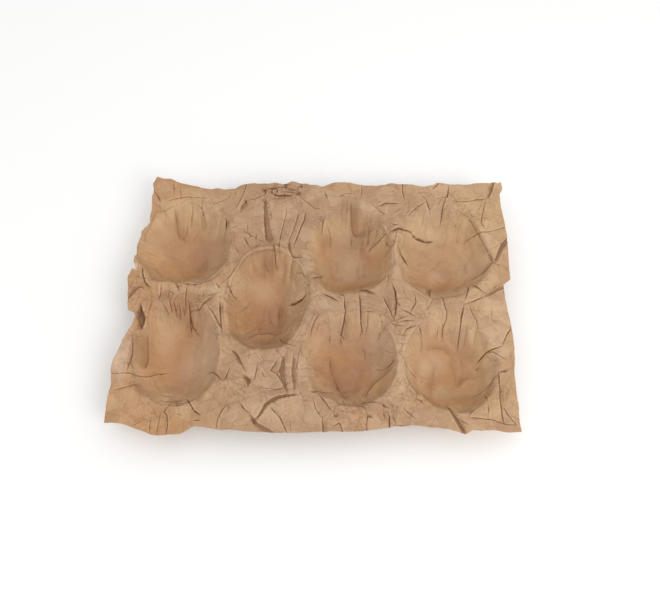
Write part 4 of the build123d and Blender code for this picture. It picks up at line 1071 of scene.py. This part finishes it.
def kraftPaper():
    material = bpy.data.materials.new("unbleached_kraft_paper")
    material.use_nodes = True
    tree = material.node_tree
    tree.nodes.clear()
    spot = addNode(tree, "TexCoord", {}, "Object")
    sources = {}
    for name, (alongSize, acrossSize, detail, roughness) in kraft["noises"].items():
        # metres -> cells of the noise
        scale = [1000 / alongSize, 1000 / acrossSize, 1000 / acrossSize]
        scaled = addNode(tree, "Mapping", {"Vector": spot, "Scale": scale})
        texture = {"Vector": scaled, "Scale": 1.0, "Detail": detail, "Roughness": roughness}
        sources[name] = addNode(tree, "TexNoise", texture)
    # noise on the circle of the bearings, drawn out along the radius, for the streaks
    around = {
        "X": product(tree, sources, ["wayAlong", kraft["streaks"]]),
        "Y": product(tree, sources, ["wayAcross", kraft["streaks"]]),
        "Z": product(tree, sources, ["inCup", kraft["streakChanges"]]),
    }
    ring = addNode(tree, "CombineXYZ", around)
    texture = {"Vector": ring, "Scale": 1.0, "Detail": 3.0, "Roughness": 0.6}
    sources["fan"] = addNode(tree, "TexNoise", texture)
    for name, size in kraft["cells"].items():
        addCells(tree, sources, name, size, spot)
    side = product(tree, sources, ["crossSide"])
    sources["crossNear"] = addNode(tree, "Math", {0: side}, operation="ABSOLUTE")
    for name, products in masks.items():
        largest, *others = [product(tree, sources, factors) for factors in products]
        for other in others:
            largest = addNode(tree, "Math", {0: largest, 1: other}, operation="MAXIMUM")
        sources[name] = largest
    colour = toLinear(kraft["left"])
    for coat, *factors in coats:
        layers = {0: product(tree, sources, factors), 6: colour, 7: toLinear(kraft[coat])}
        colour = addNode(tree, "Mix", layers, 2, data_type="RGBA")
    height = 0.0
    for factors in relief:
        height = addNode(tree, "Math", {0: height, 1: product(tree, sources, factors)}, operation="ADD")
    distance = kraft["bumpMillimetres"] / 1000
    bump = addNode(tree, "Bump", {"Height": height, "Strength": 1.0, "Distance": distance})
    shader = addNode(tree, "BsdfPrincipled", {
        "Base Color": colour, "Normal": bump,
        "Roughness": kraft["roughness"], "IOR": kraft["ior"], "Specular IOR Level": kraft["specular"],
    })
    addNode(tree, "OutputMaterial", {"Surface": shader})
    return material


liner = buildSheet()
liner.data.materials.append(kraftPaper())
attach(liner, "root")
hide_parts("tray_sheet")
print("liner dressed")

# The studio: a white floor, white surroundings, a large faint light overhead and a smaller, stronger one
# from the front right.
studio = {
    "floorHalf": 3.0, "floorDepth": 0.0003, "floorColour": "#fbfbfa", "floorRoughness": 0.9,
    "surroundings": 0.86,
    "lights": {
        "overhead": {"watts": 2.0, "size": 1.6, "place": (0.0, 0.0, 1.8)},
        "front": {"watts": 8.0, "size": 0.9, "place": (0.8, -0.9, 1.1)},
    },
}


def makeStudio():
    half, depth = studio["floorHalf"], studio["floorDepth"]
    mesh = bpy.data.meshes.new("floor")
    corners = [(x * half, y * half, -depth) for x, y in ((-1, -1), (1, -1), (1, 1), (-1, 1))]
    mesh.from_pydata(corners, [], [(0, 1, 2, 3)])
    floor = bpy.data.objects.new("floor", mesh)
    bpy.context.scene.collection.objects.link(floor)
    material = bpy.data.materials.new("painted_floor")
    material.use_nodes = True
    shader = material.node_tree.nodes["Principled BSDF"]
    shader.inputs["Base Color"].default_value = toLinear(studio["floorColour"])
    shader.inputs["Roughness"].default_value = studio["floorRoughness"]
    mesh.materials.append(material)
    world = bpy.data.worlds.new("surroundings")
    world.use_nodes = True
    world.node_tree.nodes["Background"].inputs["Color"].default_value = (1, 1, 1, 1)
    world.node_tree.nodes["Background"].inputs["Strength"].default_value = studio["surroundings"]
    bpy.context.scene.world = world
    for name, facts in studio["lights"].items():
        lamp = bpy.data.lights.new(name, "AREA")
        lamp.shape, lamp.size, lamp.energy = "DISK", facts["size"], facts["watts"]
        light = bpy.data.objects.new(name, lamp)
        light.location = facts["place"]
        light.rotation_euler = (-Vector(facts["place"])).to_track_quat("-Z", "Y").to_euler()
        bpy.context.scene.collection.objects.link(light)


# The camera stands in front of the sheet and looks down at 60 degrees, a little tilted.
view = {
    "azimuth": -1.0, "elevation": 60.0, "roll": 2.4, "distance": 0.780, "target": (0.00995, 0.00056, 0.032),
    "focalPixels": 760.0, "framePixels": 660.0, "sensor": 36.0,
}


def makeCamera():
    azimuth, elevation, roll = (math.radians(view[k]) for k in ("azimuth", "elevation", "roll"))
    level = math.cos(elevation)
    back = Vector((math.sin(azimuth) * level, -math.cos(azimuth) * level, math.sin(elevation)))
    right = (-back).cross(Vector((0, 0, 1))).normalized()
    up = right.cross(-back)
    turnedRight = math.cos(roll) * right + math.sin(roll) * up
    turnedUp = -math.sin(roll) * right + math.cos(roll) * up
    lens = bpy.data.cameras.new("camera")
    lens.sensor_width = view["sensor"]
    lens.lens = view["focalPixels"] / view["framePixels"] * view["sensor"]
    camera = bpy.data.objects.new("camera", lens)
    stand = Matrix((turnedRight, turnedUp, back)).transposed().to_4x4()
    stand.translation = Vector(view["target"]) + back * view["distance"]
    camera.matrix_world = stand
    bpy.context.scene.collection.objects.link(camera)
    bpy.context.scene.camera = camera


makeStudio()
makeCamera()
bpy.context.scene.view_settings.view_transform = "Standard"
print("studio and camera ready")
